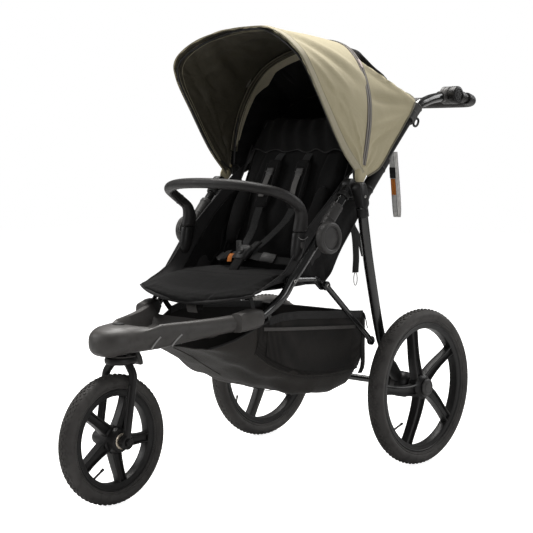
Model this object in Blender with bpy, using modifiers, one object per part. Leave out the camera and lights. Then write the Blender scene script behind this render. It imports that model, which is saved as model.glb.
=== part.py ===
"""Three-wheeled baby stroller with a folding frame. Metres, +Z up; the stroller's front faces -Y and its left is +X."""

import math

import bmesh
import bpy
from mathutils import Vector

for old in list(bpy.data.objects):
    bpy.data.objects.remove(old, do_unlink=True)

# ---------------------------------------------------------------- driving dimensions
MIDDLE_Y = 0.0910  # the design's Y is counted from mid wheelbase, this far ahead of the stroller's middle
GAP = 0.0003  # between pieces that touch
MERGE = 0.00005

FRONT_R = 0.150
REAR_R = 0.200
TYRE_HALF = 0.023
AXLE_BORE = 0.0064
CAP_BORE = 0.0120
FRONT_AXLE = (0.0, -0.403, FRONT_R)
REAR_AXLE_Y, REAR_AXLE_Z = 0.403, REAR_R
REAR_WHEEL_X = 0.271
SWIVEL_Y = -0.376

FRONT_TUBE_R = 0.011
LEG_R = 0.0125
PUSHER_R = 0.013
BRACE_R = 0.0072
RAIL_R = 0.008
HANDLE_R = 0.0115
GRIP_R = 0.0152
BAR_R = 0.0125

APEX = (0.182, 0.706)  # Y, Z of the fold axis
BRACE_PIVOT = (0.122, 0.4745)
BRACE_END = (0.300, 0.322)
RECLINE = (0.112, 0.522)
CANOPY = (0.222, 0.752)
HANDLE = (0.622, 0.9505)
HUB = (0.075, 0.596)

FRONT_TUBE = [
    (0.170, -0.116, 0.404),
    (0.187, -0.077, 0.434),
    (0.204, -0.050, 0.463),
    (0.2105, -0.026, 0.498),
    (0.2145, 0.009, 0.537),
    (0.218, 0.060, 0.595),
    (0.2215, 0.120, 0.662),
    (0.222, 0.180, 0.728),
]
LEG = [
    (0.2480, 0.182, 0.706),
    (0.2420, 0.206, 0.620),
    (0.2330, 0.240, 0.512),
    (0.2195, 0.303, 0.340),
    (0.2155, 0.347, 0.262),
    (0.2140, 0.390, 0.213),
]
PUSHER = [
    (0.196, 0.2545, 0.6860),
    (0.196, 0.3000, 0.7375),
    (0.196, 0.4600, 0.8985),
    (0.196, 0.5250, 0.9330),
    (0.196, 0.6060, 0.9480),
]
FRONT_BOW = [
    (0.2250, 0.205, 0.740),
    (0.2250, 0.140, 0.806),
    (0.2250, 0.073, 0.903),
    (0.2235, 0.020, 0.985),
    (0.2000, 0.004, 1.032),
    (0.1300, 0.018, 1.074),
    (0.0550, 0.045, 1.101),
    (0.0000, 0.055, 1.106),
]
MID_BOW = [
    (0.2270, 0.221, 0.768),
    (0.2290, 0.231, 0.829),
    (0.2280, 0.240, 0.880),
    (0.2190, 0.258, 0.930),
    (0.1850, 0.272, 0.995),
    (0.1500, 0.288, 1.035),
    (0.0800, 0.318, 1.072),
    (0.0000, 0.332, 1.088),
]
REAR_EDGE = [
    (0.2180, 0.250, 0.7400),
    (0.2180, 0.300, 0.7620),
    (0.2180, 0.350, 0.8160),
    (0.2180, 0.400, 0.8700),
    (0.2120, 0.452, 0.9280),
    (0.1500, 0.488, 0.9560),
    (0.0800, 0.500, 0.9620),
    (0.0000, 0.503, 0.9640),
]

# ---------------------------------------------------------------- scene bookkeeping
PARTS = bpy.data.collections.new("baby_stroller")
TOOLS = bpy.data.collections.new("cutters")
bpy.context.scene.collection.children.link(PARTS)
bpy.context.scene.collection.children.link(TOOLS)

STAND = bpy.data.objects.new("mid_wheelbase", None)
STAND.location = (0, -MIDDLE_Y, 0)
PARTS.objects.link(STAND)


def material(name, colour, roughness, metallic=0.0):
    m = bpy.data.materials.new(name)
    m.use_nodes = True
    shader = m.node_tree.nodes["Principled BSDF"]
    shader.inputs["Base Color"].default_value = (*colour, 1)
    shader.inputs["Roughness"].default_value = roughness
    shader.inputs["Metallic"].default_value = metallic
    return m


FRAME_BLACK = material("frame_black", (0.018, 0.018, 0.019), 0.28, 0.6)
PLATFORM_GREY = material("moulded_dark_grey", (0.060, 0.057, 0.055), 0.45)
BLACK_PLASTIC = material("black_plastic", (0.025, 0.025, 0.026), 0.42)
TYRE_RUBBER = material("tyre_rubber", (0.022, 0.021, 0.020), 0.75)
RIM_PLASTIC = material("rim_plastic", (0.035, 0.034, 0.034), 0.40)
LEATHERETTE = material("leatherette", (0.040, 0.037, 0.036), 0.55)
KHAKI_CLOTH = material("khaki_cloth", (0.330, 0.300, 0.200), 0.85)
BLACK_CLOTH = material("black_cloth", (0.015, 0.015, 0.016), 0.90)
BASKET_CLOTH = material("basket_cloth", (0.030, 0.027, 0.024), 0.88)
WEBBING = material("webbing", (0.020, 0.020, 0.021), 0.80)
PALE_WEBBING = material("pale_webbing", (0.620, 0.620, 0.600), 0.80)
STEEL = material("steel", (0.550, 0.550, 0.560), 0.30, 1.0)


def part(ob, name, mat):
    """Files ob as the sub-part called name."""
    ob.name = name
    ob.data.materials.append(mat)
    ob.parent = STAND
    PARTS.objects.link(ob)
    return ob


def cutter(ob):
    """Files ob as a shape that only serves Booleans."""
    ob.hide_render = True
    ob.display_type = "WIRE"
    ob.parent = STAND
    TOOLS.objects.link(ob)
    return ob


def combine(ob, other, operation):
    step = ob.modifiers.new(operation.lower(), "BOOLEAN")
    step.operation = operation
    step.object = cutter(other)
    return ob


def add(ob, other):
    return combine(ob, other, "UNION")


def cut(ob, other):
    return combine(ob, other, "DIFFERENCE")


def bevel(ob, width, segments=2, angle=40):
    step = ob.modifiers.new("bevel", "BEVEL")
    step.width = width
    step.segments = segments
    step.limit_method = "ANGLE"
    step.angle_limit = math.radians(angle)
    return ob


# ---------------------------------------------------------------- shape makers
def mesh_object(bm, name="shape"):
    bmesh.ops.recalc_face_normals(bm, faces=bm.faces)
    mesh = bpy.data.meshes.new(name)
    bm.to_mesh(mesh)
    bm.free()
    mesh.shade_smooth()
    mesh.set_sharp_from_angle(angle=math.radians(35))
    return bpy.data.objects.new(name, mesh)


def smooth_path(points, steps=4):
    """A Catmull-Rom curve through the points."""
    p = [Vector(q) for q in points]
    p = [2 * p[0] - p[1], *p, 2 * p[-1] - p[-2]]
    path = []
    for a, b, c, d in zip(p, p[1:], p[2:], p[3:]):
        for i in range(steps):
            t = i / steps
            path.append(
                0.5
                * (
                    2 * b
                    + (c - a) * t
                    + (2 * a - 5 * b + 4 * c - d) * t**2
                    + (3 * b - a - 3 * c + d) * t**3
                )
            )
    path.append(p[-2])
    return path


def rounded_path(points, radius, steps=5):
    """A line through the points whose corners are arcs of about this radius."""
    p = [Vector(q) for q in points]
    path = [p[0]]
    for a, b, c in zip(p, p[1:], p[2:]):
        start, end = (a - b).normalized(), (c - b).normalized()
        half = start.angle(end) / 2
        reach = min(radius / math.tan(half), (a - b).length * 0.49, (c - b).length * 0.49)
        first, last = b + start * reach, b + end * reach
        for i in range(steps + 1):
            t = i / steps
            path.append(first * (1 - t) ** 2 + b * 2 * t * (1 - t) + last * t**2)
    path.append(p[-1])
    return path


def mirrored(points):
    """A half line that ends at X = 0, carried on to the other side."""
    return [Vector(q) for q in points] + [Vector((-q[0], q[1], q[2])) for q in reversed(points[:-1])]


def on_side(points, side):
    return [(side * q[0], q[1], q[2]) for q in points]


def lengthened(points, extra=GAP):
    """The same line, a little longer at both ends."""
    p = [Vector(q) for q in points]
    first = p[0] + (p[0] - p[1]).normalized() * extra
    last = p[-1] + (p[-1] - p[-2]).normalized() * extra
    return [first, *p[1:-1], last]


def tube(points, radius, resolution=2, cyclic=False):
    """A round bar along the points, as a curve."""
    data = bpy.data.curves.new("tube", "CURVE")
    data.dimensions = "3D"
    data.bevel_depth = radius
    data.bevel_resolution = resolution
    data.use_fill_caps = not cyclic
    line = data.splines.new("POLY")
    line.points.add(len(points) - 1)
    for point, place in zip(line.points, points):
        point.co = (*place, 1)
    line.use_cyclic_u = cyclic
    return bpy.data.objects.new("tube", data)


def as_mesh(ob):
    """The mesh that a curve makes, with its caps welded, in place of the curve."""
    TOOLS.objects.link(ob)
    bpy.context.view_layer.update()
    seen = ob.evaluated_get(bpy.context.evaluated_depsgraph_get())
    mesh = bpy.data.meshes.new_from_object(seen)
    bm = bmesh.new()
    bm.from_mesh(mesh)
    bmesh.ops.remove_doubles(bm, verts=bm.verts, dist=MERGE)
    bm.to_mesh(mesh)
    bm.free()
    made = bpy.data.objects.new("mesh", mesh)
    made.matrix_world = ob.matrix_world.copy()
    bpy.data.objects.remove(ob, do_unlink=True)
    return made


def solid_tube(points, radius, resolution=2):
    return as_mesh(tube(points, radius, resolution))


def socket_cutter(points, radius, resolution=2):
    """What a piece loses to let this tube into it."""
    return solid_tube(lengthened(points), radius + GAP, resolution)


def front_tube_path(side):
    return smooth_path(on_side(FRONT_TUBE, side), 2)


def leg_path(side):
    return smooth_path(on_side(LEG, side), 2)


def pusher_path(side):
    return smooth_path(on_side(PUSHER, side), 3)


SIDEWAYS = (0, math.pi / 2, 0)  # turns local Z onto world X


def turned(profile, steps=32, closed=False, place=(0, 0, 0), turn=(0, 0, 0)):
    """Turns (radius, height) points about Z. An open profile runs from the axis, down its outer side, to the axis."""
    bm = bmesh.new()
    row = [bm.verts.new((r, 0, z)) for r, z in profile]
    for a, b in zip(row, row[1:] + row[:1] if closed else row[1:]):
        bm.edges.new((a, b))
    mesh = bpy.data.meshes.new("turned")
    bm.to_mesh(mesh)
    bm.free()
    ob = bpy.data.objects.new("turned", mesh)
    screw = ob.modifiers.new("screw", "SCREW")
    screw.steps = steps
    screw.render_steps = steps
    screw.use_merge_vertices = True
    screw.merge_threshold = MERGE
    ob.location = place
    ob.rotation_euler = turn
    return ob


def cylinder(radius, length, place, turn=SIDEWAYS, steps=20):
    half = length / 2
    return turned([(0, half), (radius, half), (radius, -half), (0, -half)], steps, False, place, turn)


def disc_between(radius, x_low, x_high, y, z, chamfer=0.002, steps=28):
    """A round disc on an X axis, with chamfered rims."""
    half = abs(x_high - x_low) / 2
    profile = [
        (0, half),
        (radius - chamfer, half),
        (radius, half - chamfer),
        (radius, chamfer - half),
        (radius - chamfer, -half),
        (0, -half),
    ]
    return turned(profile, steps, False, ((x_low + x_high) / 2, y, z), SIDEWAYS)


def bore_cutter(radius, x_low, x_high, y, z, steps=20):
    return cylinder(radius, abs(x_high - x_low), ((x_low + x_high) / 2, y, z), SIDEWAYS, steps)


def side_plate(outline, x_low, x_high, hole=None):
    """A flat plate across X, from an outline in Y and Z."""
    data = bpy.data.curves.new("plate", "CURVE")
    data.dimensions = "2D"
    data.fill_mode = "BOTH"
    data.extrude = abs(x_high - x_low) / 2
    for ring in [outline] + ([hole] if hole else []):
        line = data.splines.new("POLY")
        line.points.add(len(ring) - 1)
        for point, (y, z) in zip(line.points, ring):
            point.co = (y, z, 0, 1)
        line.use_cyclic_u = True
    ob = bpy.data.objects.new("plate", data)
    ob.rotation_euler = (math.pi / 2, 0, math.pi / 2)
    ob.location = ((x_low + x_high) / 2, 0, 0)
    return ob


def capsule_outline(a, b, radius_a, radius_b, steps=8):
    """Two arcs joined by straight sides, round the points a and b."""
    lean = math.atan2(b[1] - a[1], b[0] - a[0])
    ring = []
    for centre, radius, start in ((a, radius_a, math.pi / 2), (b, radius_b, -math.pi / 2)):
        for i in range(steps + 1):
            angle = lean + start + math.pi * i / steps
            ring.append((centre[0] + radius * math.cos(angle), centre[1] + radius * math.sin(angle)))
    return ring


def loft(rings):
    """A closed skin over rings that hold the same number of points."""
    bm = bmesh.new()
    rows = [[bm.verts.new(p) for p in ring] for ring in rings]
    n = len(rows[0])
    for a, b in zip(rows, rows[1:]):
        for i in range(n):
            bm.faces.new((a[i], a[(i + 1) % n], b[(i + 1) % n], b[i]))
    bm.faces.new(rows[0])
    bm.faces.new(reversed(rows[-1]))
    bmesh.ops.triangulate(bm, faces=[f for f in bm.faces if len(f.verts) > 4])
    return mesh_object(bm)


def rounded_section(centre, half_wide, half_high, wide_way, high_way, corner=0.6, steps=12):
    """A squarish round ring: a superellipse of power 2 at corner 1 and squarer below it."""
    ring = []
    for i in range(steps):
        angle = 2 * math.pi * (i + 0.5) / steps
        c, s = math.cos(angle), math.sin(angle)
        u = math.copysign(abs(c) ** corner, c) * half_wide
        v = math.copysign(abs(s) ** corner, s) * half_high
        ring.append(Vector(centre) + Vector(wide_way) * u + Vector(high_way) * v)
    return ring


def skin(rows, thickness, outward):
    """An open cloth surface over rows of points, given thickness on the side that outward points to."""
    bm = bmesh.new()
    made = [[bm.verts.new(p) for p in row] for row in rows]
    for a, b in zip(made, made[1:]):
        for i in range(len(a) - 1):
            bm.faces.new((a[i], a[i + 1], b[i + 1], b[i]))
    bm.normal_update()
    middle = sum((Vector(p) for row in rows for p in row), Vector()) / sum(len(row) for row in rows)
    facing = sum(f.normal.dot(f.calc_center_median() - middle) for f in bm.faces)
    if facing * outward < 0:
        bmesh.ops.reverse_faces(bm, faces=bm.faces)
    mesh = bpy.data.meshes.new("skin")
    bm.to_mesh(mesh)
    bm.free()
    mesh.shade_smooth()
    ob = bpy.data.objects.new("skin", mesh)
    step = ob.modifiers.new("thickness", "SOLIDIFY")
    step.thickness = thickness
    step.offset = 1
    step.use_even_offset = False
    return ob


def blend_rows(row_a, row_b, count, lift=0.0, centre=Vector((0, 0.2, 0.9))):
    """Rows between two curves, both ends included; lift pushes the middle rows out from centre."""
    rows = []
    for k in range(count + 1):
        t = k / count
        row = []
        for a, b in zip(row_a, row_b):
            p = Vector(a).lerp(Vector(b), t)
            out = (p - centre).normalized()
            row.append(p + out * lift * 4 * t * (1 - t))
        rows.append(row)
    return rows


SIDES = ((1, "left"), (-1, "right"))


# ---------------------------------------------------------------- wheels
def spider(spokes, hub_r, rim_r, phase, curl, half_thick):
    """Hub disc and curved spokes as one flat outline. Spokes meet the rim at phase, and curl is how far they lag at the hub."""
    outline = []
    stations = [0.0, 0.2, 0.45, 0.7, 1.0]
    widths = [0.0150, 0.0138, 0.0122, 0.0108, 0.0125]
    for k in range(spokes):
        base = phase + 2 * math.pi * k / spokes
        for way in (-1, 1):
            for i in range(5) if way < 0 else reversed(range(5)):
                r = hub_r + (rim_r - hub_r) * stations[i]
                angle = base - curl * (1 - stations[i]) ** 1.5 + way * math.asin(widths[i] / r)
                outline.append((r * math.cos(angle), r * math.sin(angle)))
    hole = [(0.018 * math.cos(a * math.pi / 6), 0.018 * math.sin(a * math.pi / 6)) for a in range(12)]
    return as_mesh(side_plate(outline, -half_thick, half_thick, hole))


def wheel(prefix, centre, radius, side, hub_half, phase, curl):
    """Tyre and five-spoke rim; side is the outward X direction."""
    seat = radius - 0.033
    tyre = [
        (seat, 0.0150),
        (radius - 0.017, TYRE_HALF),
        (radius - 0.004, 0.0160),
        (radius, 0.0060),
        (radius, -0.0060),
        (radius - 0.004, -0.0160),
        (radius - 0.017, -TYRE_HALF),
        (seat, -0.0150),
    ]
    part(turned(tyre, 32, True, centre, SIDEWAYS), prefix + "_tyre", TYRE_RUBBER)
    out = seat - GAP
    inner = radius - 0.050
    rim = [(inner, 0.0130), (out, 0.0150), (out, -0.0150), (inner, -0.0130)]
    hub = [
        (AXLE_BORE, 0.010),
        (CAP_BORE, 0.010),
        (CAP_BORE, hub_half),
        (0.026, hub_half),
        (0.031, hub_half - 0.008),
        (0.031, 0.008 - hub_half),
        (0.026, -hub_half),
        (AXLE_BORE, -hub_half),
    ]
    body = spider(5, 0.027, inner + 0.004, math.radians(phase), curl, 0.0115)
    body.location = centre
    flip = SIDEWAYS if side > 0 else (0, -math.pi / 2, 0)
    add(body, turned(rim, 32, True, centre, SIDEWAYS))
    add(body, turned(hub, 16, True, centre, flip))
    part(body, prefix + "_rim", RIM_PLASTIC)


# ---------------------------------------------------------------- front wheel and fork
def front_fork():
    y, z = FRONT_AXLE[1:]
    body = turned(
        [(0, 0.0640), (0.0100, 0.0640), (0.0118, 0.0620), (0.0118, 0.0172), (0.0330, 0.0172), (0.0370, 0.0130),
         (0.0370, 0.0040), (0.0330, 0.0), (0, 0.0)],
        24, False, (0, SWIVEL_Y, 0.3200), (0, 0, 0),
    )
    for side in (1, -1):
        leg = rounded_path(
            on_side([(0.024, SWIVEL_Y, 0.329), (0.0465, SWIVEL_Y - 0.003, 0.296), (0.0465, y, z)], side), 0.03, 4
        )
        add(body, solid_tube(leg, 0.0082, 2))
        add(body, disc_between(0.0150, side * 0.0385, side * 0.0545, y, z, 0.002, 16))
    cut(body, bore_cutter(AXLE_BORE, -0.07, 0.07, y, z, 16))
    return part(body, "front_fork", BLACK_PLASTIC)


def front_axle():
    profile = [
        (0, 0.0620), (0.0090, 0.0620), (0.0100, 0.0610), (0.0100, 0.0549), (0.0060, 0.0549),
        (0.0060, -0.0549), (0.0100, -0.0549), (0.0100, -0.0610), (0.0090, -0.0620), (0, -0.0620),
    ]
    return part(turned(profile, 16, False, FRONT_AXLE, SIDEWAYS), "front_axle", STEEL)


def steering_bush():
    """Bush between the fork's stem and the platform's nose."""
    ring = [(0.0121, 0.0190), (0.0147, 0.0190), (0.0147, -0.0190), (0.0121, -0.0190)]
    part(turned(ring, 24, True, (0, SWIVEL_Y, 0.3610)), "steering_bush", STEEL)


# ---------------------------------------------------------------- footrest platform
def platform_half_width(y):
    """The platform's outline: a round nose that widens back to the two ears."""
    nose_y, nose_r = -0.390, 0.062
    if y < nose_y:
        return math.sqrt(max(nose_r**2 - (y - nose_y) ** 2, 0.0004))
    t = (y - nose_y) / 0.270
    return nose_r + 0.128 * t**1.25


def footrest_platform():
    """Lofted from stations along Y; each ring is a dished tray with raised side arms."""
    rings = []
    for y, floor, under in (
        (-0.4515, 0.3860, 0.3540), (-0.4450, 0.3960, 0.3440), (-0.4280, 0.4050, 0.3390), (-0.4000, 0.4110, 0.3390),
        (-0.3600, 0.4070, 0.3395), (-0.3200, 0.3930, 0.3410), (-0.2700, 0.3780, 0.3440), (-0.2200, 0.3700, 0.3490),
        (-0.1800, 0.3680, 0.3540), (-0.1550, 0.3920, 0.3740), (-0.1400, 0.4020, 0.3840),
    ):
        t = max(0.0, (y + 0.452) / 0.312)
        w = platform_half_width(y)
        low = max(under, 0.3390 + 0.044 * t**1.6)
        crest = min(floor, 0.4040) if t < 0.12 else 0.4040 + 0.024 * t**3 + 0.006 * math.sin(math.pi * t)
        pod = max(0.0, 1 - t / 0.30)
        half = [
            (0.0, under),
            (w * 0.62, under),
            (w * 0.93, low + 0.002 + 0.006 * pod),
            (w, low + 0.020),
            (w * 0.985, crest - 0.012 - 0.006 * pod),
            (w * 0.90, crest - 0.006 * pod),
            (w * 0.78, crest - 0.003 + 0.003 * pod),
            (w * 0.68, floor + 0.003 - 0.005 * pod),
            (0.0, floor),
        ]
        ring = [Vector((a, y, b)) for a, b in half]
        ring += [Vector((-a, y, b)) for a, b in reversed(half[1:-1])]
        rings.append(ring)
    body = loft(rings)
    for side in (1, -1):
        ear = []
        for y, x, half_w, low, high in (
            (-0.150, 0.1655, 0.0200, 0.386, 0.432),
            (-0.134, 0.1690, 0.0195, 0.388, 0.4365),
            (-0.112, 0.1730, 0.0180, 0.392, 0.4370),
            (-0.098, 0.1760, 0.0150, 0.398, 0.4340),
        ):
            middle = (side * x, y, (low + high) / 2)
            ear.append(rounded_section(middle, half_w, (high - low) / 2, (1, 0, 0), (0, 0, 1), 0.7, 10))
        add(body, loft(ear))
        cut(body, socket_cutter(front_tube_path(side), FRONT_TUBE_R))
    cut(body, cylinder(0.0150, 0.058, (0, SWIVEL_Y, 0.3600), (0, 0, 0), 24))
    cut(body, lock_recess())
    return part(body, "footrest_platform", PLATFORM_GREY)


# ---------------------------------------------------------------- frame
def front_tubes():
    for side, word in SIDES:
        part(tube(front_tube_path(side), FRONT_TUBE_R), f"front_tube_{word}", FRAME_BLACK)


def hub_covers():
    """Round joint covers on the front tubes, clasping them from outside."""
    for side, word in SIDES:
        y, z = HUB
        profile = [
            (0, 0.0060), (0.0230, 0.0060), (0.0270, 0.0100), (0.0340, 0.0100), (0.0385, 0.0060),
            (0.0385, -0.0090), (0.0350, -0.0120), (0, -0.0120),
        ]
        turn = SIDEWAYS if side > 0 else (0, -math.pi / 2, 0)
        body = turned(profile, 24, False, (side * 0.2410, y, z), turn)
        sleeve = solid_tube(on_side([(0.2205, 0.088, 0.6275), (0.2222, 0.128, 0.6715)], side), 0.0150)
        add(body, sleeve)
        cut(body, socket_cutter(front_tube_path(side), FRONT_TUBE_R))
        part(body, f"hub_cover_{word}", BLACK_PLASTIC)


def apex_fittings():
    """The lug on the front tube's upper end, with the pin that the pusher and the rear leg turn on."""
    for side, word in SIDES:
        outline = capsule_outline((0.172, 0.7215), APEX, 0.0145, 0.0150)
        body = as_mesh(side_plate(outline, side * 0.2100, side * 0.2338))
        cut(body, socket_cutter(front_tube_path(side), FRONT_TUBE_R))
        add(body, bore_cutter(0.0040, side * 0.1890, side * 0.2570, *APEX, 16))
        part(body, f"apex_fitting_{word}", BLACK_PLASTIC)


def leg_caps():
    for side, word in SIDES:
        outline = capsule_outline((0.1800, 0.7125), (0.1900, 0.6760), 0.0152, 0.0142)
        body = as_mesh(side_plate(outline, side * 0.2348, side * 0.2614))
        bevel(body, 0.003, 2)
        cut(body, socket_cutter(leg_path(side), LEG_R))
        cut(body, bore_cutter(0.0043, side * 0.22, side * 0.2580, *APEX, 16))
        part(body, f"leg_cap_{word}", BLACK_PLASTIC)


def rear_legs():
    for side, word in SIDES:
        body = solid_tube(leg_path(side), LEG_R)
        cut(body, bore_cutter(0.0043, side * 0.22, side * 0.2580, *APEX, 16))
        part(body, f"rear_leg_{word}", FRAME_BLACK)


def rear_axle():
    """Axle that runs through both brake housings, and its housings."""
    y, z = REAR_AXLE_Y, REAR_AXLE_Z
    half = [(0.2795, 0.0), (0.2795, 0.0060), (0.2300, 0.0060), (0.2300, 0.0090)]
    profile = [(r, x) for x, r in half] + [(r, -x) for x, r in reversed(half)]
    part(turned(profile, 20, False, (0, y, z), SIDEWAYS), "rear_axle", STEEL)
    for side, word in SIDES:
        turn = SIDEWAYS if side > 0 else (0, -math.pi / 2, 0)
        profile = [
            (0, 0.0400), (0.0180, 0.0400), (0.0270, 0.0340), (0.0330, 0.0220), (0.0330, -0.0100),
            (0.0240, -0.0340), (0.0130, -0.0390), (0, -0.0390),
        ]
        body = turned(profile, 24, False, (side * 0.2050, y, z), turn)
        socket = solid_tube(leg_path(side)[-4:], LEG_R + 0.0022)
        add(body, socket)
        cut(body, socket_cutter(leg_path(side), LEG_R))
        cut(body, bore_cutter(0.0093, side * 0.1500, side * 0.26, y, z, 20))
        part(body, f"brake_housing_{word}", BLACK_PLASTIC)


def brake_pedal():
    """A foot bar behind the left brake housing."""
    outline = [(0.437, 0.190), (0.452, 0.197), (0.478, 0.176), (0.484, 0.162), (0.474, 0.160), (0.446, 0.176)]
    body = as_mesh(side_plate(outline, 0.176, 0.226))
    bevel(body, 0.003, 2, 30)
    part(body, "brake_pedal", PLATFORM_GREY)


def wheel_buttons():
    """Push buttons in the rear hubs that let the wheels off their axles."""
    for side, word in SIDES:
        turn = SIDEWAYS if side > 0 else (0, -math.pi / 2, 0)
        profile = [
            (0, 0.0035), (0.0190, 0.0035), (0.0220, 0.0010), (0.0220, -0.0020), (0.0100, -0.0020),
            (0.0100, -0.0110), (0, -0.0110),
        ]
        place = (side * (REAR_WHEEL_X + 0.0200 + 0.0050), REAR_AXLE_Y, REAR_AXLE_Z)
        part(turned(profile, 24, False, place, turn), f"wheel_button_{word}", BLACK_PLASTIC)


def braces():
    """Struts from the seat's rail to the rear legs. Their lower ends slide along the legs, so they pass clear inside."""
    x = 0.1925
    for side, word in SIDES:
        body = solid_tube([(side * x, *BRACE_PIVOT), (side * x, *BRACE_END)], BRACE_R)
        for end in (BRACE_PIVOT, BRACE_END):
            add(body, disc_between(0.0115, side * (x - 0.0050), side * (x + 0.0050), *end, 0.001, 14))
        part(body, f"brace_{word}", FRAME_BLACK)


def seat_rail():
    """U-shaped tube under the seat, with ears and pins for the braces."""
    half = [(0.1962, -0.0200, 0.4985), (0.1780, 0.0060, 0.4960), (0.1780, 0.1040, 0.4900)]
    path = half + [(-q[0], q[1], q[2]) for q in reversed(half)]
    body = solid_tube(rounded_path(path, 0.022, 3), RAIL_R)
    for side in (1, -1):
        outline = capsule_outline((0.0970, 0.4905), BRACE_PIVOT, 0.0080, 0.0110, 5)
        add(body, as_mesh(side_plate(outline, side * 0.1745, side * 0.1815)))
        add(body, bore_cutter(0.0035, side * 0.1780, side * 0.1850, *BRACE_PIVOT, 10))
    part(body, "seat_rail", FRAME_BLACK)


# ---------------------------------------------------------------- pusher and handle
def pusher():
    for side, word in SIDES:
        path = pusher_path(side)
        part(tube(path, PUSHER_R), f"pusher_tube_{word}", FRAME_BLACK)
        outline = capsule_outline(APEX, (0.2560, 0.6920), 0.0150, 0.0170)
        lug = as_mesh(side_plate(outline, side * 0.1860, side * 0.2088))
        socket = solid_tube([path[0], path[0].lerp(path[3], 0.75)], PUSHER_R + 0.0030)
        add(lug, socket)
        add(lug, disc_between(0.0150, side * 0.2040, side * 0.2130, *CANOPY, 0.0008, 20))
        stem = capsule_outline(CANOPY, (0.232, 0.700), 0.0100, 0.0120)
        add(lug, as_mesh(side_plate(stem, side * 0.1990, side * 0.2080)))
        cut(lug, socket_cutter(path, PUSHER_R))
        cut(lug, bore_cutter(0.0043, side * 0.18, side * 0.215, *APEX, 16))
        cut(lug, bore_cutter(0.0090, side * 0.17, side * 0.1905, *APEX, 16))
        part(lug, f"pusher_lug_{word}", BLACK_PLASTIC)


def trigger_sleeves():
    """Sleeves on the pusher tubes that carry the fold triggers."""
    for side, word in SIDES:
        middle = Vector((side * 0.196, 0.4600, 0.8985))
        along = Vector((0, 0.74, 0.67)).normalized()
        body = solid_tube([middle - along * 0.024, middle + along * 0.026], PUSHER_R + 0.0042)
        cut(body, socket_cutter(pusher_path(side), PUSHER_R))
        part(body, f"trigger_sleeve_{word}", BLACK_PLASTIC)


def fold_triggers():
    """Finger loops under the sleeves, which slide up along the tubes."""
    for side, word in SIDES:
        along = Vector((0, 0.74, 0.67)).normalized()
        down = Vector((0, 0.67, -0.74)).normalized()
        middle = Vector((side * 0.196, 0.4600, 0.8985)) + down * (PUSHER_R + 0.0168)
        ring = [
            middle + along * (0.0120 * math.cos(a)) + down * (0.0085 * math.sin(a))
            for a in [2 * math.pi * k / 14 for k in range(14)]
        ]
        part(tube(ring, 0.0030, 1, True), f"fold_trigger_{word}", BLACK_PLASTIC)


def handle_joints():
    """Round click joints at the pusher's upper ends."""
    y, z = HANDLE
    for side, word in SIDES:
        body = disc_between(0.0235, side * 0.1830, side * 0.2090, y, z, 0.003, 20)
        cut(body, socket_cutter(pusher_path(side), PUSHER_R))
        cut(body, bore_cutter(0.0100, side * 0.1700, side * 0.1950, y, z, 16))
        part(body, f"handle_joint_{word}", BLACK_PLASTIC)
        tip = [(0, 0.0052), (0.0080, 0.0052), (0.0092, 0.0040), (0.0092, -0.0060), (0, -0.0060)]
        turn = SIDEWAYS if side < 0 else (0, -math.pi / 2, 0)
        part(turned(tip, 16, False, (side * 0.1840, y, z), turn), f"tilt_button_{word}", PLATFORM_GREY)


def handle():
    """Bent handlebar with a padded grip between its two outer joint discs."""
    y, z = HANDLE
    half = [(0.2214, y + 0.004, z), (0.2214, 0.7200, 0.9360)]
    path = half + [(-q[0], q[1], q[2]) for q in reversed(half)]
    path = rounded_path(path, 0.050, 5)
    bar = solid_tube(path, HANDLE_R)
    for side in (1, -1):
        add(bar, disc_between(0.0240, side * 0.2096, side * 0.2332, y, z, 0.003, 20))
    part(bar, "handlebar", BLACK_PLASTIC)
    grip = solid_tube(path[1:-1], GRIP_R)
    cut(grip, socket_cutter(path, HANDLE_R))
    part(grip, "handle_grip", LEATHERETTE)


# ---------------------------------------------------------------- canopy
def inset_bow(curve, x_end, inset):
    """The bow that holds a fabric edge: inside the cloth by inset, with both ends on the hinge axis."""
    middle = Vector((0, 0.20, 0.86))
    points = [(x_end, *CANOPY)]
    for k, q in enumerate(curve[1:]):
        v = Vector(q)
        inward = (middle - v)
        inward.z *= 0.6
        v = v + inward.normalized() * inset
        if k < 2:
            v.x = x_end
        points.append(tuple(v))
    points[-1] = (0, points[-1][1], points[-1][2])
    return smooth_path(mirrored(points), 2)


def canopy():
    part(tube(inset_bow(FRONT_BOW, 0.2215, 0.0065), 0.0028, 1), "canopy_front_bow", BLACK_PLASTIC)
    part(tube(inset_bow(MID_BOW, 0.2158, 0.0075), 0.0028, 1), "canopy_mid_bow", BLACK_PLASTIC)
    front = smooth_path(mirrored(FRONT_BOW), 2)
    middle = smooth_path(mirrored(MID_BOW), 2)
    rear = smooth_path(mirrored(REAR_EDGE), 2)
    rows = blend_rows(front, middle, 3, 0.004)
    rows[-1] = [p.lerp(q, 0.05) for p, q in zip(rows[-1], rows[-2])]
    part(skin(rows, 0.0025, 1), "canopy_front_panel", KHAKI_CLOTH)
    rows = blend_rows(middle, rear, 3, 0.010)
    rows[0] = [p.lerp(q, 0.08) for p, q in zip(rows[0], rows[1])]
    part(skin(rows, 0.0025, 1), "canopy_rear_panel", KHAKI_CLOTH)


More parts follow.
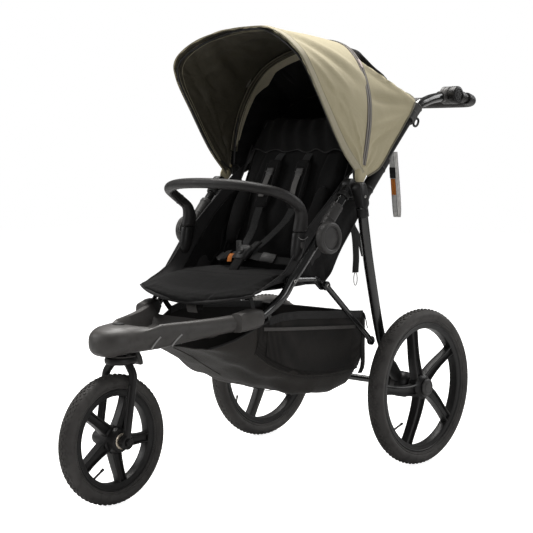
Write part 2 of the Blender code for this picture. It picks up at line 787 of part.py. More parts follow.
# ---------------------------------------------------------------- seat
def seat_pad():
    rings = []
    for y, w, low, high in (
        (-0.1600, 0.150, 0.4520, 0.4640),
        (-0.1500, 0.190, 0.4500, 0.4720),
        (-0.1200, 0.200, 0.4520, 0.4820),
        (-0.0950, 0.190, 0.4560, 0.4900),
        (-0.0600, 0.176, 0.4700, 0.5000),
        (-0.0200, 0.166, 0.4760, 0.5080),
        (0.0300, 0.164, 0.4790, 0.5140),
        (0.0780, 0.164, 0.4810, 0.5160),
        (0.0900, 0.160, 0.4850, 0.5120),
    ):
        rings.append(rounded_section((0, y, (low + high) / 2), w, (high - low) / 2, (1, 0, 0), (0, 0, 1), 0.45, 16))
    part(loft(rings), "seat_pad", BLACK_CLOTH)


def backrest():
    start = Vector((0, RECLINE[0], RECLINE[1]))
    top = Vector((0, 0.285, 0.900))
    along = (top - start).normalized()
    back = Vector((0, along.z, -along.y))
    rings = []
    for t, w, thick in (
        (0.010, 0.150, 0.008), (0.040, 0.162, 0.014), (0.250, 0.166, 0.016), (0.550, 0.166, 0.016),
        (0.800, 0.158, 0.016), (0.940, 0.140, 0.014), (1.000, 0.115, 0.007),
    ):
        middle = start + along * (t * (top - start).length) + back * 0.014
        rings.append(rounded_section(middle, w, thick, (1, 0, 0), back, 0.5, 16))
    part(loft(rings), "backrest", BLACK_CLOTH)


def seat_sides():
    """Cloth side panels between the frame's tubes."""
    outline = [
        (0.004, 0.5075), (0.108, 0.5075), (0.128, 0.5150), (0.232, 0.6400), (0.205, 0.6700),
        (0.150, 0.6500), (0.060, 0.5900),
    ]
    for side, word in SIDES:
        part(side_plate(outline, side * 0.1748, side * 0.1800), f"seat_side_{word}", BLACK_CLOTH)


def harness():
    """Buckle on the crotch strap, and the two shoulder straps with their pads."""
    middle = Vector((0, 0.030, 0.5480))
    rings = [
        rounded_section(middle + Vector((0, 0, h)), w, d, (1, 0, 0), (0, 1, 0), 0.6, 12)
        for h, w, d in ((-0.0330, 0.016, 0.004), (-0.020, 0.020, 0.008), (0.004, 0.026, 0.011), (0.020, 0.022, 0.009))
    ]
    part(loft(rings), "harness_buckle", BLACK_PLASTIC)
    start = Vector((0, RECLINE[0], RECLINE[1]))
    top = Vector((0, 0.285, 0.900))
    along = (top - start).normalized()
    front = Vector((0, -along.z, along.y))
    for side, word in SIDES:
        rings = []
        for t, x, w, thick in (
            (0.14, 0.062, 0.016, 0.0022), (0.30, 0.058, 0.016, 0.0024), (0.34, 0.057, 0.024, 0.0070),
            (0.62, 0.050, 0.026, 0.0080), (0.66, 0.049, 0.024, 0.0060),
        ):
            place = start + along * (t * (top - start).length) + front * 0.0130 + Vector((side * x, 0, 0))
            rings.append(rounded_section(place, w, thick, (1, 0, 0), front, 0.6, 10))
        part(loft(rings), f"shoulder_strap_{word}", WEBBING)


# ---------------------------------------------------------------- bumper bar
def bumper_bar():
    for side, word in SIDES:
        rings = []
        for place, wide, deep in (
            ((0.1880, 0.0120, 0.5440), 0.0085, 0.0100),
            ((0.1890, 0.0150, 0.5600), 0.0120, 0.0170),
            ((0.1890, 0.0260, 0.6100), 0.0135, 0.0200),
        ):
            rings.append(rounded_section((side * place[0], place[1], place[2]), wide, deep, (1, 0, 0), (0, 1, 0), 0.8, 14))
        body = loft(rings)
        cut(body, side_bar_peg(side, GAP))
        cut(body, socket_cutter(front_tube_path(side), FRONT_TUBE_R))
        part(body, f"bar_adapter_{word}", BLACK_PLASTIC)
    half = [
        (0.1890, 0.0300, 0.6270), (0.1895, 0.0330, 0.6440), (0.1925, 0.0285, 0.6600), (0.1965, 0.0120, 0.6745),
        (0.1950, -0.0190, 0.6935), (0.1790, -0.0500, 0.7070), (0.1450, -0.0740, 0.7160), (0.1000, -0.0900, 0.7220),
        (0.0500, -0.0985, 0.7248), (0.0, -0.1010, 0.7256),
    ]
    bar = solid_tube(smooth_path(mirrored(half), 2), BAR_R, 3)
    for side in (1, -1):
        cuff = []
        for place, wide, deep in (
            ((0.1890, 0.0263, 0.6106), 0.0135, 0.0200),
            ((0.1892, 0.0300, 0.6280), 0.0135, 0.0190),
            ((0.1903, 0.0315, 0.6480), 0.0135, 0.0165),
            ((0.1925, 0.0262, 0.6610), 0.0130, 0.0142),
        ):
            cuff.append(rounded_section((side * place[0], place[1], place[2]), wide, deep, (1, 0, 0), (0, 1, 0), 0.8, 14))
        add(bar, loft(cuff))
        add(bar, side_bar_peg(side, 0.0))
    part(bar, "bumper_bar", LEATHERETTE)


def side_bar_peg(side, extra):
    """The steel tongue that slides down into the bar's adapter; extra is the socket's clearance."""
    low = 0.5640 if extra == 0 else 0.5600
    high = 0.6200
    rings = []
    for z in (low, high):
        y = 0.0150 + (z - 0.5600) * 0.220
        rings.append(rounded_section((side * 0.1890, y, z), 0.0045 + extra, 0.0090 + extra, (1, 0, 0), (0, 1, 0), 0.6, 8))
    return loft(rings)


# ---------------------------------------------------------------- basket, strap, lock
def basket():
    """Hammock of cloth under the seat, open on top."""
    stations = (
        (-0.2150, 0.124, 0.3460, 0.3420),
        (-0.1850, 0.134, 0.3500, 0.3290),
        (-0.1500, 0.146, 0.3620, 0.3120),
        (-0.1100, 0.158, 0.3800, 0.2880),
        (-0.0600, 0.168, 0.4040, 0.2600),
        (-0.0200, 0.174, 0.4120, 0.2410),
        (0.0400, 0.176, 0.4120, 0.2170),
        (0.1200, 0.176, 0.4060, 0.1940),
        (0.2000, 0.176, 0.4000, 0.1900),
        (0.2600, 0.175, 0.3950, 0.2030),
        (0.2880, 0.173, 0.3930, 0.2300),
    )
    rows = []
    for y, w, high, low in stations:
        row = []
        for k in range(13):
            angle = math.pi * k / 12
            c, s = math.cos(angle), math.sin(angle)
            row.append(Vector((math.copysign(abs(c) ** 0.55, c) * w, y, high - (high - low) * s**0.75)))
        rows.append(row)
    end = [Vector((p.x * 0.985, 0.2960, high + 0.002)) for p in rows[-1]]
    rows.append([p.lerp(q, 0.5) + Vector((0, 0.004, 0)) for p, q in zip(rows[-1], end)])
    rows.append(end)
    body = skin(rows, 0.003, 1)
    part(body, "basket", BASKET_CLOTH)


def wrist_strap():
    """Safety strap looped round the left pusher tube, hanging straight down."""
    x = 0.196
    outline = [(0.3930, 0.8005), (0.3960, 0.6400), (0.3900, 0.6330), (0.3840, 0.6400), (0.3800, 0.7985)]
    hole = [(0.3905, 0.7985), (0.3930, 0.6420), (0.3900, 0.6385), (0.3870, 0.6420), (0.3835, 0.7975)]
    body = side_plate(outline, x - 0.0090, x + 0.0090, hole)
    part(body, "wrist_strap", PALE_WEBBING)


def lock_recess():
    """The room in the platform's underside for the lock lever and its travel."""
    outline = [(-0.3400, 0.3300), (-0.3400, 0.3490), (-0.3100, 0.3490), (-0.3100, 0.3300)]
    return as_mesh(side_plate(outline, -0.0130, 0.0130))


def swivel_lock():
    """Lever beside the steering head that locks the front wheel straight."""
    outline = [(-0.3375, 0.3400), (-0.3370, 0.3452), (-0.3285, 0.3464), (-0.3190, 0.3300), (-0.3160, 0.3150),
               (-0.3240, 0.3120), (-0.3310, 0.3260)]
    body = as_mesh(side_plate(outline, -0.0110, 0.0110))
    bevel(body, 0.0015, 1, 30)
    part(body, "swivel_lock_lever", BLACK_PLASTIC)


# ---------------------------------------------------------------- assembly
wheel("front", FRONT_AXLE, FRONT_R, 1, 0.0330, -5.0, 0.14)
for way, word in SIDES:
    wheel(f"rear_{word}", (way * REAR_WHEEL_X, REAR_AXLE_Y, REAR_AXLE_Z), REAR_R, way, 0.0200, 32.0, -0.24)
front_fork()
front_axle()
steering_bush()
footrest_platform()
swivel_lock()
front_tubes()
hub_covers()
apex_fittings()
seat_rail()
rear_legs()
leg_caps()
rear_axle()
brake_pedal()
wheel_buttons()
braces()
pusher()
trigger_sleeves()
fold_triggers()
handle_joints()
handle()
canopy()
seat_pad()
backrest()
seat_sides()
harness()
bumper_bar()
basket()
wrist_strap()
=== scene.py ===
"""Looks for the three-wheeled baby stroller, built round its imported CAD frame.

Metres; the front faces -Y and the left is +X.
"""

import math

import bmesh
import bpy
from mathutils import Matrix, Vector, noise


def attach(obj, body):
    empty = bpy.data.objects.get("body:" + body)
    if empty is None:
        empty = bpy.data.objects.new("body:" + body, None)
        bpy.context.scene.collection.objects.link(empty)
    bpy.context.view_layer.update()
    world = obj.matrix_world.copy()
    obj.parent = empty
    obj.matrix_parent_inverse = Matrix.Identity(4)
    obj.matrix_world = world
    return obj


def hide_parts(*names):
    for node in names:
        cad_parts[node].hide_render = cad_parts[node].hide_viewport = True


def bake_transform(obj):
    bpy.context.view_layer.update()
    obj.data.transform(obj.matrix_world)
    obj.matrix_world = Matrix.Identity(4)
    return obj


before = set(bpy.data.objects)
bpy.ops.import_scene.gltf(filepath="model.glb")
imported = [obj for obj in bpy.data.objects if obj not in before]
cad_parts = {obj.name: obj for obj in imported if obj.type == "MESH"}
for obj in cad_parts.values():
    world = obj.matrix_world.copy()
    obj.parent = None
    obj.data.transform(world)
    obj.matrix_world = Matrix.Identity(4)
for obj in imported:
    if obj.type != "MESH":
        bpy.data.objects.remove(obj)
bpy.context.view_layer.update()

# The design's Y is counted from mid wheelbase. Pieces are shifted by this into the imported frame.
MIDDLE_Y = 0.0910
SIDES = ((1, "left"), (-1, "right"))
UP, LEFT, BACK = Vector((0, 0, 1)), Vector((1, 0, 0)), Vector((0, 1, 0))


# ---------------------------------------------------------------- materials
class Surface:
    """A procedural material: shader values first, then colour, roughness and bump layers."""

    def __init__(self, name, colour, roughness, **values):
        self.colour = colour
        self.roughness = roughness
        self.material = bpy.data.materials.new(name)
        self.material.use_nodes = True
        self.tree = self.material.node_tree
        self.shader = self.tree.nodes["Principled BSDF"]
        self.shader.inputs["Base Color"].default_value = (*colour, 1)
        self.shader.inputs["Roughness"].default_value = roughness
        for key, value in values.items():
            self.shader.inputs[key.replace("_", " ")].default_value = value
        self.place = self.node("ShaderNodeTexCoord").outputs["Object"]
        self.normal = None
        self.colour_out = None

    def node(self, kind, inputs=None, **settings):
        n = self.tree.nodes.new(kind)
        for key, value in settings.items():
            setattr(n, key, value)
        for key, value in (inputs or {}).items():
            if isinstance(value, bpy.types.NodeSocket):
                self.tree.links.new(value, n.inputs[key])
            else:
                n.inputs[key].default_value = value
        return n

    def noise(self, scale, detail=3.0, stretch=(1, 1, 1), rough=0.5):
        place = self.node("ShaderNodeMapping", {"Vector": self.place, "Scale": stretch}).outputs[0]
        return self.node(
            "ShaderNodeTexNoise", {"Vector": place, "Scale": scale, "Detail": detail, "Roughness": rough}
        ).outputs["Fac"]

    def ranged(self, value, low, high, to_low=0.0, to_high=1.0):
        return self.node(
            "ShaderNodeMapRange", {"Value": value, "From Min": low, "From Max": high, "To Min": to_low,
                                   "To Max": to_high}
        ).outputs[0]

    def math(self, operation, a, b=0.0):
        return self.node("ShaderNodeMath", {0: a, 1: b}, operation=operation).outputs[0]

    def tint(self, mask, colour):
        """Mixes a colour in where the mask is 1."""
        under = self.colour_out or (*self.colour, 1)
        mix = self.node("ShaderNodeMix", data_type="RGBA")
        self.tree.links.new(mask, mix.inputs[0])
        for index, value in ((6, under), (7, (*colour, 1))):
            if isinstance(value, bpy.types.NodeSocket):
                self.tree.links.new(value, mix.inputs[index])
            else:
                mix.inputs[index].default_value = value
        self.colour_out = mix.outputs[2]
        self.tree.links.new(self.colour_out, self.shader.inputs["Base Color"])
        return self

    def vary(self, scale, amount, detail=4.0, stretch=(1, 1, 1)):
        """Lighter and darker patches."""
        mask = self.ranged(self.noise(scale, detail, stretch), 0.32, 0.68)
        self.tint(mask, [min(1.0, c * (1 + amount)) for c in self.colour])
        other = self.ranged(self.noise(scale * 2.3, detail, stretch), 0.52, 0.75)
        return self.tint(other, [c * (1 - amount) for c in self.colour])

    def polish(self, scale, amount):
        """Uneven roughness."""
        value = self.ranged(self.noise(scale, 5.0), 0.3, 0.7, self.roughness - amount,
                            self.roughness + amount)
        self.tree.links.new(value, self.shader.inputs["Roughness"])
        return self

    def worn(self, colour, start=0.53, end=0.62):
        """Lighter edges, where the surface bends outwards."""
        point = self.node("ShaderNodeNewGeometry").outputs["Pointiness"]
        return self.tint(self.ranged(point, start, end, 0.0, 0.6), colour)

    def bump(self, height, depth, strength=1.0):
        inputs = {"Height": height, "Distance": depth, "Strength": strength}
        if self.normal:
            inputs["Normal"] = self.normal
        self.normal = self.node("ShaderNodeBump", inputs).outputs[0]
        self.tree.links.new(self.normal, self.shader.inputs["Normal"])
        return self

    def grain(self, scale, depth, detail=2.0, stretch=(1, 1, 1)):
        return self.bump(self.noise(scale, detail, stretch), depth)

    def pebble(self, scale, depth):
        cells = self.node("ShaderNodeTexVoronoi", {"Vector": self.place, "Scale": scale},
                          feature="SMOOTH_F1")
        return self.bump(cells.outputs["Distance"], depth)

    def wave(self, pitch, direction, distort=0.4):
        place = self.node("ShaderNodeMapping", {"Vector": self.place, "Rotation": direction}).outputs[0]
        return self.node(
            "ShaderNodeTexWave",
            {"Vector": place, "Scale": 2 * math.pi / pitch / 20 / 1.0, "Distortion": distort,
             "Detail": 1.0},
            bands_direction="X",
        ).outputs["Fac"]

    def weave(self, pitch, depth, colour=None):
        """Crossed threads: on any face, two of three band directions show."""
        quarter = math.pi / 2
        bands = [self.wave(pitch, (0, 0, 0)), self.wave(pitch, (0, 0, quarter)),
                 self.wave(pitch, (0, quarter, 0))]
        height = self.math("MULTIPLY", self.math("ADD", bands[0], bands[1]),
                           self.math("ADD", bands[2], 0.5))
        if colour:
            self.tint(self.ranged(height, 0.2, 2.0, 0.0, 0.55), colour)
        return self.bump(height, depth, 0.6)


def build_materials():
    m = {}

    def keep(key, surface):
        m[key] = surface.material

    keep("tyre", Surface("tyre_rubber", (0.056, 0.053, 0.051), 0.62, Specular_IOR_Level=0.22)
         .vary(22, 0.28).polish(40, 0.09).worn((0.070, 0.066, 0.062), 0.52,
                                               0.6).grain(900, 0.00022).grain(90, 0.0003))
    keep("rim", Surface("rim_nylon", (0.0145, 0.014, 0.014), 0.40, Specular_IOR_Level=0.3)
         .vary(30, 0.2).polish(60, 0.06).worn((0.030, 0.029, 0.028)).grain(1400, 0.00010))
    keep("paint", Surface("gloss_black_paint", (0.0075, 0.0075, 0.0075), 0.22, Coat_Weight=0.6,
                          Coat_Roughness=0.08)
         .vary(15, 0.25).polish(55, 0.05).worn((0.016, 0.016, 0.0165)).grain(420, 0.00005))
    keep("plastic", Surface("black_plastic", (0.0135, 0.013, 0.013), 0.42, Specular_IOR_Level=0.28)
         .vary(40, 0.22).polish(70, 0.07).worn((0.030, 0.029, 0.028)).pebble(1500, 0.00008))
    keep("platform", Surface("footrest_plastic", (0.066, 0.062, 0.059), 0.44, Specular_IOR_Level=0.35)
         .vary(26, 0.14).polish(35,
                                0.07).worn((0.105, 0.099, 0.094)).pebble(1300, 0.00012).grain(600, 0.00008))
    keep("grey_plastic", Surface("grey_plastic", (0.048, 0.046, 0.045), 0.46, Specular_IOR_Level=0.35)
         .vary(40, 0.15).polish(70, 0.07).worn((0.085, 0.082, 0.080)).pebble(1500, 0.00008))
    keep("accent", Surface("pale_accent_paint", (0.26, 0.255, 0.25), 0.35).vary(60, 0.12).polish(60, 0.05))
    keep("steel", Surface("bright_steel", (0.56, 0.55, 0.53), 0.30, Metallic=1.0)
         .vary(50, 0.2, 4.0, (1, 12, 12)).polish(90, 0.1).grain(700, 0.00004, 2.0, (0.1, 1, 1)))
    keep("bearing", Surface("bearing_ring", (0.66, 0.58, 0.47), 0.34,
                            Metallic=0.6).vary(60, 0.15).polish(60, 0.08))
    keep("leather", Surface("leatherette", (0.019, 0.0178, 0.0174), 0.48, Specular_IOR_Level=0.32)
         .vary(28, 0.2).polish(55, 0.08).pebble(620, 0.00035).grain(200, 0.0002))
    keep("thread", Surface("thread", (0.055, 0.052, 0.050), 0.7).vary(300, 0.3).grain(2500, 0.0001))
    keep("thread_dark", Surface("dark_thread", (0.022, 0.021, 0.021),
                                0.7).vary(300, 0.3).grain(2500, 0.0001))
    keep("khaki", Surface("khaki_cloth", (0.430, 0.378, 0.240), 0.82, Sheen_Weight=0.10,
                          Sheen_Roughness=0.5)
         .vary(7, 0.05).vary(420, 0.06, 2.0).weave(0.0011, 0.00016,
                                                   (0.49, 0.435, 0.285)).grain(26, 0.0016, 3.0))
    keep("khaki_inside", Surface("khaki_lining", (0.040, 0.034, 0.020), 0.66, Sheen_Weight=0.05)
         .vary(9, 0.12).weave(0.0013, 0.00014, (0.058, 0.050, 0.031)).grain(30, 0.0022, 3.0))
    keep("khaki_piping", Surface("khaki_piping", (0.200, 0.180, 0.125), 0.75)
         .vary(120, 0.15).weave(0.0010, 0.00014).grain(300, 0.0003))
    keep("khaki_light", Surface("khaki_band", (0.44, 0.40, 0.295),
                                0.80).vary(60, 0.08).weave(0.0011, 0.00014))
    keep("khaki_edge", Surface("khaki_edge", (0.150, 0.136, 0.098),
                               0.78).vary(120, 0.15).weave(0.0010, 0.00014))
    # Painted shade: the colour given to the lining's gathered folds.
    keep("lining_painted_shade", Surface("lining_shadow", (0.040, 0.035, 0.024),
                                0.75).vary(200, 0.3).grain(300, 0.0003))
    keep("zip_dark", Surface("zip_coil", (0.075, 0.066, 0.062), 0.55).vary(300, 0.2).grain(2600, 0.0004))
    keep("zip_pull", Surface("zip_pull", (0.62, 0.53, 0.52), 0.40).vary(200, 0.08).polish(200, 0.08))
    keep("zip", Surface("zip_tape", (0.205, 0.185, 0.165), 0.62).vary(200, 0.15).weave(0.0009, 0.00015))
    keep("zip_teeth", Surface("zip_teeth", (0.300, 0.275, 0.250), 0.42).vary(300, 0.2).polish(200, 0.08))
    keep("black_cloth", Surface("black_cloth", (0.0070, 0.0067, 0.0067), 0.88, Sheen_Weight=0.04,
                                Sheen_Roughness=0.45,
                                Specular_IOR_Level=0.15)
         .vary(9, 0.22).weave(0.0014, 0.00022, (0.0135, 0.0130, 0.0130)).grain(38, 0.0016, 3.0))
    # The wings' cloth is the black seat cloth made lighter: painted light where the wings face the lamps.
    keep("wing_painted_light_cloth", Surface("black_cloth_painted_light", (0.0210, 0.0200, 0.0205), 0.80, Sheen_Weight=0.05,
                               Specular_IOR_Level=0.2)
         .vary(8, 0.22).weave(0.0014, 0.00022, (0.028, 0.027, 0.027)).grain(34, 0.0020, 3.0))
    keep("black_edge", Surface("black_binding", (0.015, 0.0145, 0.0145), 0.72, Sheen_Weight=0.1,
                               Specular_IOR_Level=0.2)
         .vary(60, 0.25).weave(0.0010, 0.0002, (0.040, 0.038, 0.038)).grain(120, 0.0004))
    keep("mesh", Surface("black_mesh", (0.010, 0.009, 0.0085), 0.78, Sheen_Weight=0.08,
                         Specular_IOR_Level=0.15)
         .vary(14, 0.3).weave(0.0026, 0.0005, (0.034, 0.030, 0.027)))
    keep("basket", Surface("basket_cloth", (0.025, 0.0225, 0.0205), 0.74, Sheen_Weight=0.12,
                           Specular_IOR_Level=0.2)
         .vary(8, 0.22).weave(0.0014, 0.0002, (0.052, 0.046, 0.041)).grain(24, 0.0024, 3.0))
    keep("basket_inside", Surface("basket_lining", (0.012, 0.011, 0.010), 0.85, Specular_IOR_Level=0.15)
         .vary(8, 0.2).weave(0.0014, 0.0002).grain(24, 0.002, 3.0))
    keep("pocket_edge", Surface("pocket_elastic", (0.066, 0.061, 0.058),
                                0.70).vary(80, 0.15).weave(0.0011, 0.0002))
    keep("webbing", Surface("black_webbing", (0.014, 0.014, 0.014), 0.74, Sheen_Weight=0.12,
                            Specular_IOR_Level=0.2)
         .vary(70, 0.25).weave(0.0019, 0.00035, (0.040, 0.039, 0.039)).grain(220, 0.0003))
    keep("pale_webbing", Surface("pale_webbing", (0.82, 0.81, 0.79), 0.80)
         .vary(70, 0.08).weave(0.0019, 0.0003, (0.52, 0.51, 0.50)).grain(220, 0.0003))
    keep("grey_webbing", Surface("grey_webbing", (0.13, 0.125, 0.12), 0.78)
         .vary(70, 0.15).weave(0.0019, 0.0003).grain(220, 0.0003))
    keep("orange", Surface("orange_tag", (0.72, 0.22, 0.035), 0.62).vary(90, 0.12).weave(0.0010, 0.0001))
    keep("floor", Surface("pale_floor", (0.62, 0.62, 0.62), 0.85, Specular_IOR_Level=0.0,
                          Emission_Color=(1, 1, 1, 1),
                          Emission_Strength=0.0).vary(2.0, 0.01).grain(60, 0.0002))
    return m


MAT = build_materials()


# ---------------------------------------------------------------- shapes
def smooth_path(points, steps=8):
    """A Catmull-Rom curve through the points, as part.py makes it."""
    p = [Vector(q) for q in points]
    p = [2 * p[0] - p[1], *p, 2 * p[-1] - p[-2]]
    path = []
    for a, b, c, d in zip(p, p[1:], p[2:], p[3:]):
        for i in range(steps):
            t = i / steps
            path.append(0.5 * (2 * b + (c - a) * t + (2 * a - 5 * b + 4 * c - d) * t**2
                               + (3 * b - a - 3 * c + d) * t**3))
    path.append(p[-2])
    return path


def rounded_path(points, radius, steps=8):
    p = [Vector(q) for q in points]
    path = [p[0]]
    for a, b, c in zip(p, p[1:], p[2:]):
        start, end = (a - b).normalized(), (c - b).normalized()
        half = start.angle(end) / 2
        reach = min(radius / math.tan(half), (a - b).length * 0.49, (c - b).length * 0.49)
        first, last = b + start * reach, b + end * reach
        path += [first * (1 - t) ** 2 + b * 2 * t * (1 - t) + last * t**2
                 for t in [i / steps for i in range(steps + 1)]]
    path.append(p[-1])
    return path


def mirrored(points):
    return [Vector(q) for q in points] + [Vector((-q[0], q[1], q[2])) for q in reversed(points[:-1])]


def on_side(points, side):
    return [Vector((side * q[0], q[1], q[2])) for q in points]


def made(bm, name="shape"):
    bmesh.ops.recalc_face_normals(bm, faces=bm.faces)
    mesh = bpy.data.meshes.new(name)
    bm.to_mesh(mesh)
    bm.free()
    return bpy.data.objects.new(name, mesh)


def lofted(rows, ring=False, caps=False, loop=False):
    """A skin over rows of points: ring closes each row, loop joins the last row to the first."""
    bm = bmesh.new()
    v = [[bm.verts.new(p) for p in row] for row in rows]
    n = len(rows[0])
    pairs = list(zip(v, v[1:])) + ([(v[-1], v[0])] if loop else [])
    for a, b in pairs:
        for i in range(n if ring else n - 1):
            j = (i + 1) % n
            bm.faces.new((a[i], a[j], b[j], b[i]))
    if caps:
        bm.faces.new(v[0])
        bm.faces.new(list(reversed(v[-1])))
    return made(bm)


def frames(path, up=None, loop=False):
    """(point, side, normal) along a path. Without up, the normal turns as little as it can."""
    out, normal = [], None
    n = len(path)
    for i, p in enumerate(path):
        a = path[(i - 1) % n] if loop or i else path[0]
        b = path[(i + 1) % n] if loop or i < n - 1 else path[-1]
        t = (Vector(b) - Vector(a)).normalized()
        guide = Vector(up) if up is not None else normal
        if guide is None:
            guide = UP if abs(t.z) < 0.9 else LEFT
        side = t.cross(guide).normalized()
        normal = side.cross(t).normalized()
        out.append((Vector(p), side, normal))
    return out


def ellipse(a, b, steps=20, power=1.0):
    ring = []
    for k in range(steps):
        c, s = math.cos(2 * math.pi * k / steps), math.sin(2 * math.pi * k / steps)
        ring.append((math.copysign(abs(c) ** power, c) * a, math.copysign(abs(s) ** power, s) * b))
    return ring


def swept(path, section, up=None, loop=False, caps=True):
    """A closed (side, normal) section, or a function of 0..1 that gives one, along a path."""
    rows = []
    for i, (p, side, normal) in enumerate(frames(path, up, loop)):
        ring = section(i / max(1, len(path) - 1)) if callable(section) else section
        rows.append([p + side * u + normal * w for u, w in ring])
    return lofted(rows, True, caps and not loop, loop)


def tube(path, radius, steps=20, loop=False):
    """A round bar whose ends are softly rounded."""
    ring = ellipse(1, 1, steps)
    if callable(radius):
        return swept(path, lambda t: [(u * radius(t), w * radius(t)) for u, w in ring], None, loop)
    if loop:
        return swept(path, [(u * radius, w * radius) for u, w in ring], None, True)
    path = [Vector(p) for p in path]
    ends = []
    soft = min(0.0012, radius * 0.3)
    for a, b in ((path[0], path[1]), (path[-1], path[-2])):
        ends.append(a + (b - a).normalized() * soft)
    path = [path[0], ends[0], *path[1:-1], ends[1], path[-1]]
    last = len(path) - 1

    def ring_at(t):
        r = radius - soft if round(t * last) in (0, last) else radius
        return [(u * r, w * r) for u, w in ring]

    return swept(path, ring_at)


def strap(path, width, thick, up=None, wide_way=None):
    """Flat webbing along a path. wide_way is the direction its width runs, if it is the same all along."""
    ring = ellipse(width / 2, thick / 2, 12, 0.35)
    if wide_way is None:
        return swept(path, ring, up)
    way = Vector(wide_way).normalized()
    rows = []
    n = len(path)
    for i, p in enumerate(path):
        t = (Vector(path[min(i + 1, n - 1)]) - Vector(path[max(i - 1, 0)])).normalized()
        normal = t.cross(way).normalized()
        rows.append([Vector(p) + way * u + normal * w for u, w in ring])
    return lofted(rows, True, True)


def lathe(profile, place, axis=(1, 0, 0), steps=48, closed=False):
    """Turns (radius, height) points about an axis through place."""
    axis = Vector(axis).normalized()
    a = axis.orthogonal().normalized()
    b = axis.cross(a)
    place = Vector(place)
    rows = []
    for k in range(steps):
        angle = 2 * math.pi * k / steps
        out = a * math.cos(angle) + b * math.sin(angle)
        rows.append([place + out * r + axis * h for r, h in profile])
    ob = lofted(rows, closed, False, True)
    bm = bmesh.new()
    bm.from_mesh(ob.data)
    bmesh.ops.remove_doubles(bm, verts=bm.verts, dist=1e-6)
    bmesh.ops.recalc_face_normals(bm, faces=bm.faces)
    bm.to_mesh(ob.data)
    bm.free()
    return ob


def plate(outline, x_low, x_high, soft=0.0015):
    """A flat plate across X with softened edges, from an outline in Y and Z."""
    bm = bmesh.new()
    low, high = min(x_low, x_high), max(x_low, x_high)
    face = bm.faces.new([bm.verts.new((low, y, z)) for y, z in outline])
    moved = bmesh.ops.extrude_face_region(bm, geom=[face])["geom"]
    bmesh.ops.translate(bm, verts=[g for g in moved if isinstance(g, bmesh.types.BMVert)],
                        vec=(high - low, 0, 0))
    return softened(made(bm), soft)


def softened(ob, width, segments=3, angle=35):
    if width:
        step = ob.modifiers.new("soft", "BEVEL")
        step.width, step.segments = width, segments
        step.limit_method, step.angle_limit = "ANGLE", math.radians(angle)
        step.harden_normals = True
    return ob


def capsule(a, b, radius_a, radius_b, steps=12):
    """Two arcs joined by straight sides, in Y and Z."""
    lean = math.atan2(b[1] - a[1], b[0] - a[0])
    ring = []
    for centre, radius, start in ((a, radius_a, math.pi / 2), (b, radius_b, -math.pi / 2)):
        for i in range(steps + 1):
            angle = lean + start + math.pi * i / steps
            ring.append((centre[0] + radius * math.cos(angle), centre[1] + radius * math.sin(angle)))
    return ring


def section(centre, half_wide, half_high, wide_way, high_way, corner=0.6, steps=24):
    ring = []
    for u, v in ellipse(half_wide, half_high, steps, corner):
        ring.append(Vector(centre) + Vector(wide_way) * u + Vector(high_way) * v)
    return ring


def joined(obs):
    """Several shapes as one object. Their modifiers are applied first."""
    bm = bmesh.new()
    for ob in obs:
        bpy.context.scene.collection.objects.link(ob)
    bpy.context.view_layer.update()
    graph = bpy.context.evaluated_depsgraph_get()
    for ob in obs:
        mesh = bpy.data.meshes.new_from_object(ob.evaluated_get(graph))
        mesh.transform(ob.matrix_world)
        bm.from_mesh(mesh)
        bpy.data.meshes.remove(mesh)
    for ob in obs:
        bpy.data.objects.remove(ob, do_unlink=True)
    mesh = bpy.data.meshes.new("joined")
    bm.to_mesh(mesh)
    bm.free()
    return bpy.data.objects.new("joined", mesh)


def subdivided(ob, levels=1):
    step = ob.modifiers.new("subdivision", "SUBSURF")
    step.levels = step.render_levels = levels
    return ob


def piece(ob, name, mat, body, stands_for=(), angle=40):
    """Files a shape made in the design's frame as a visible piece on a CAD body."""
    if ob.modifiers:
        ob = joined([ob])
    ob.name = ob.data.name = name
    ob.data.transform(Matrix.Translation((0, -MIDDLE_Y, 0)))
    bpy.context.scene.collection.objects.link(ob)
    if not ob.data.materials:
        ob.data.materials.append(MAT[mat])
    ob.data.shade_smooth()
    ob.data.set_sharp_from_angle(angle=math.radians(angle))
    if body:
        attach(ob, body)
    if stands_for:
        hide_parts(*([stands_for] if isinstance(stands_for, str) else stands_for))
    return ob


def repaint(node, mat):
    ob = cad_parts[node]
    ob.data.materials.clear()
    ob.data.materials.append(MAT[mat])


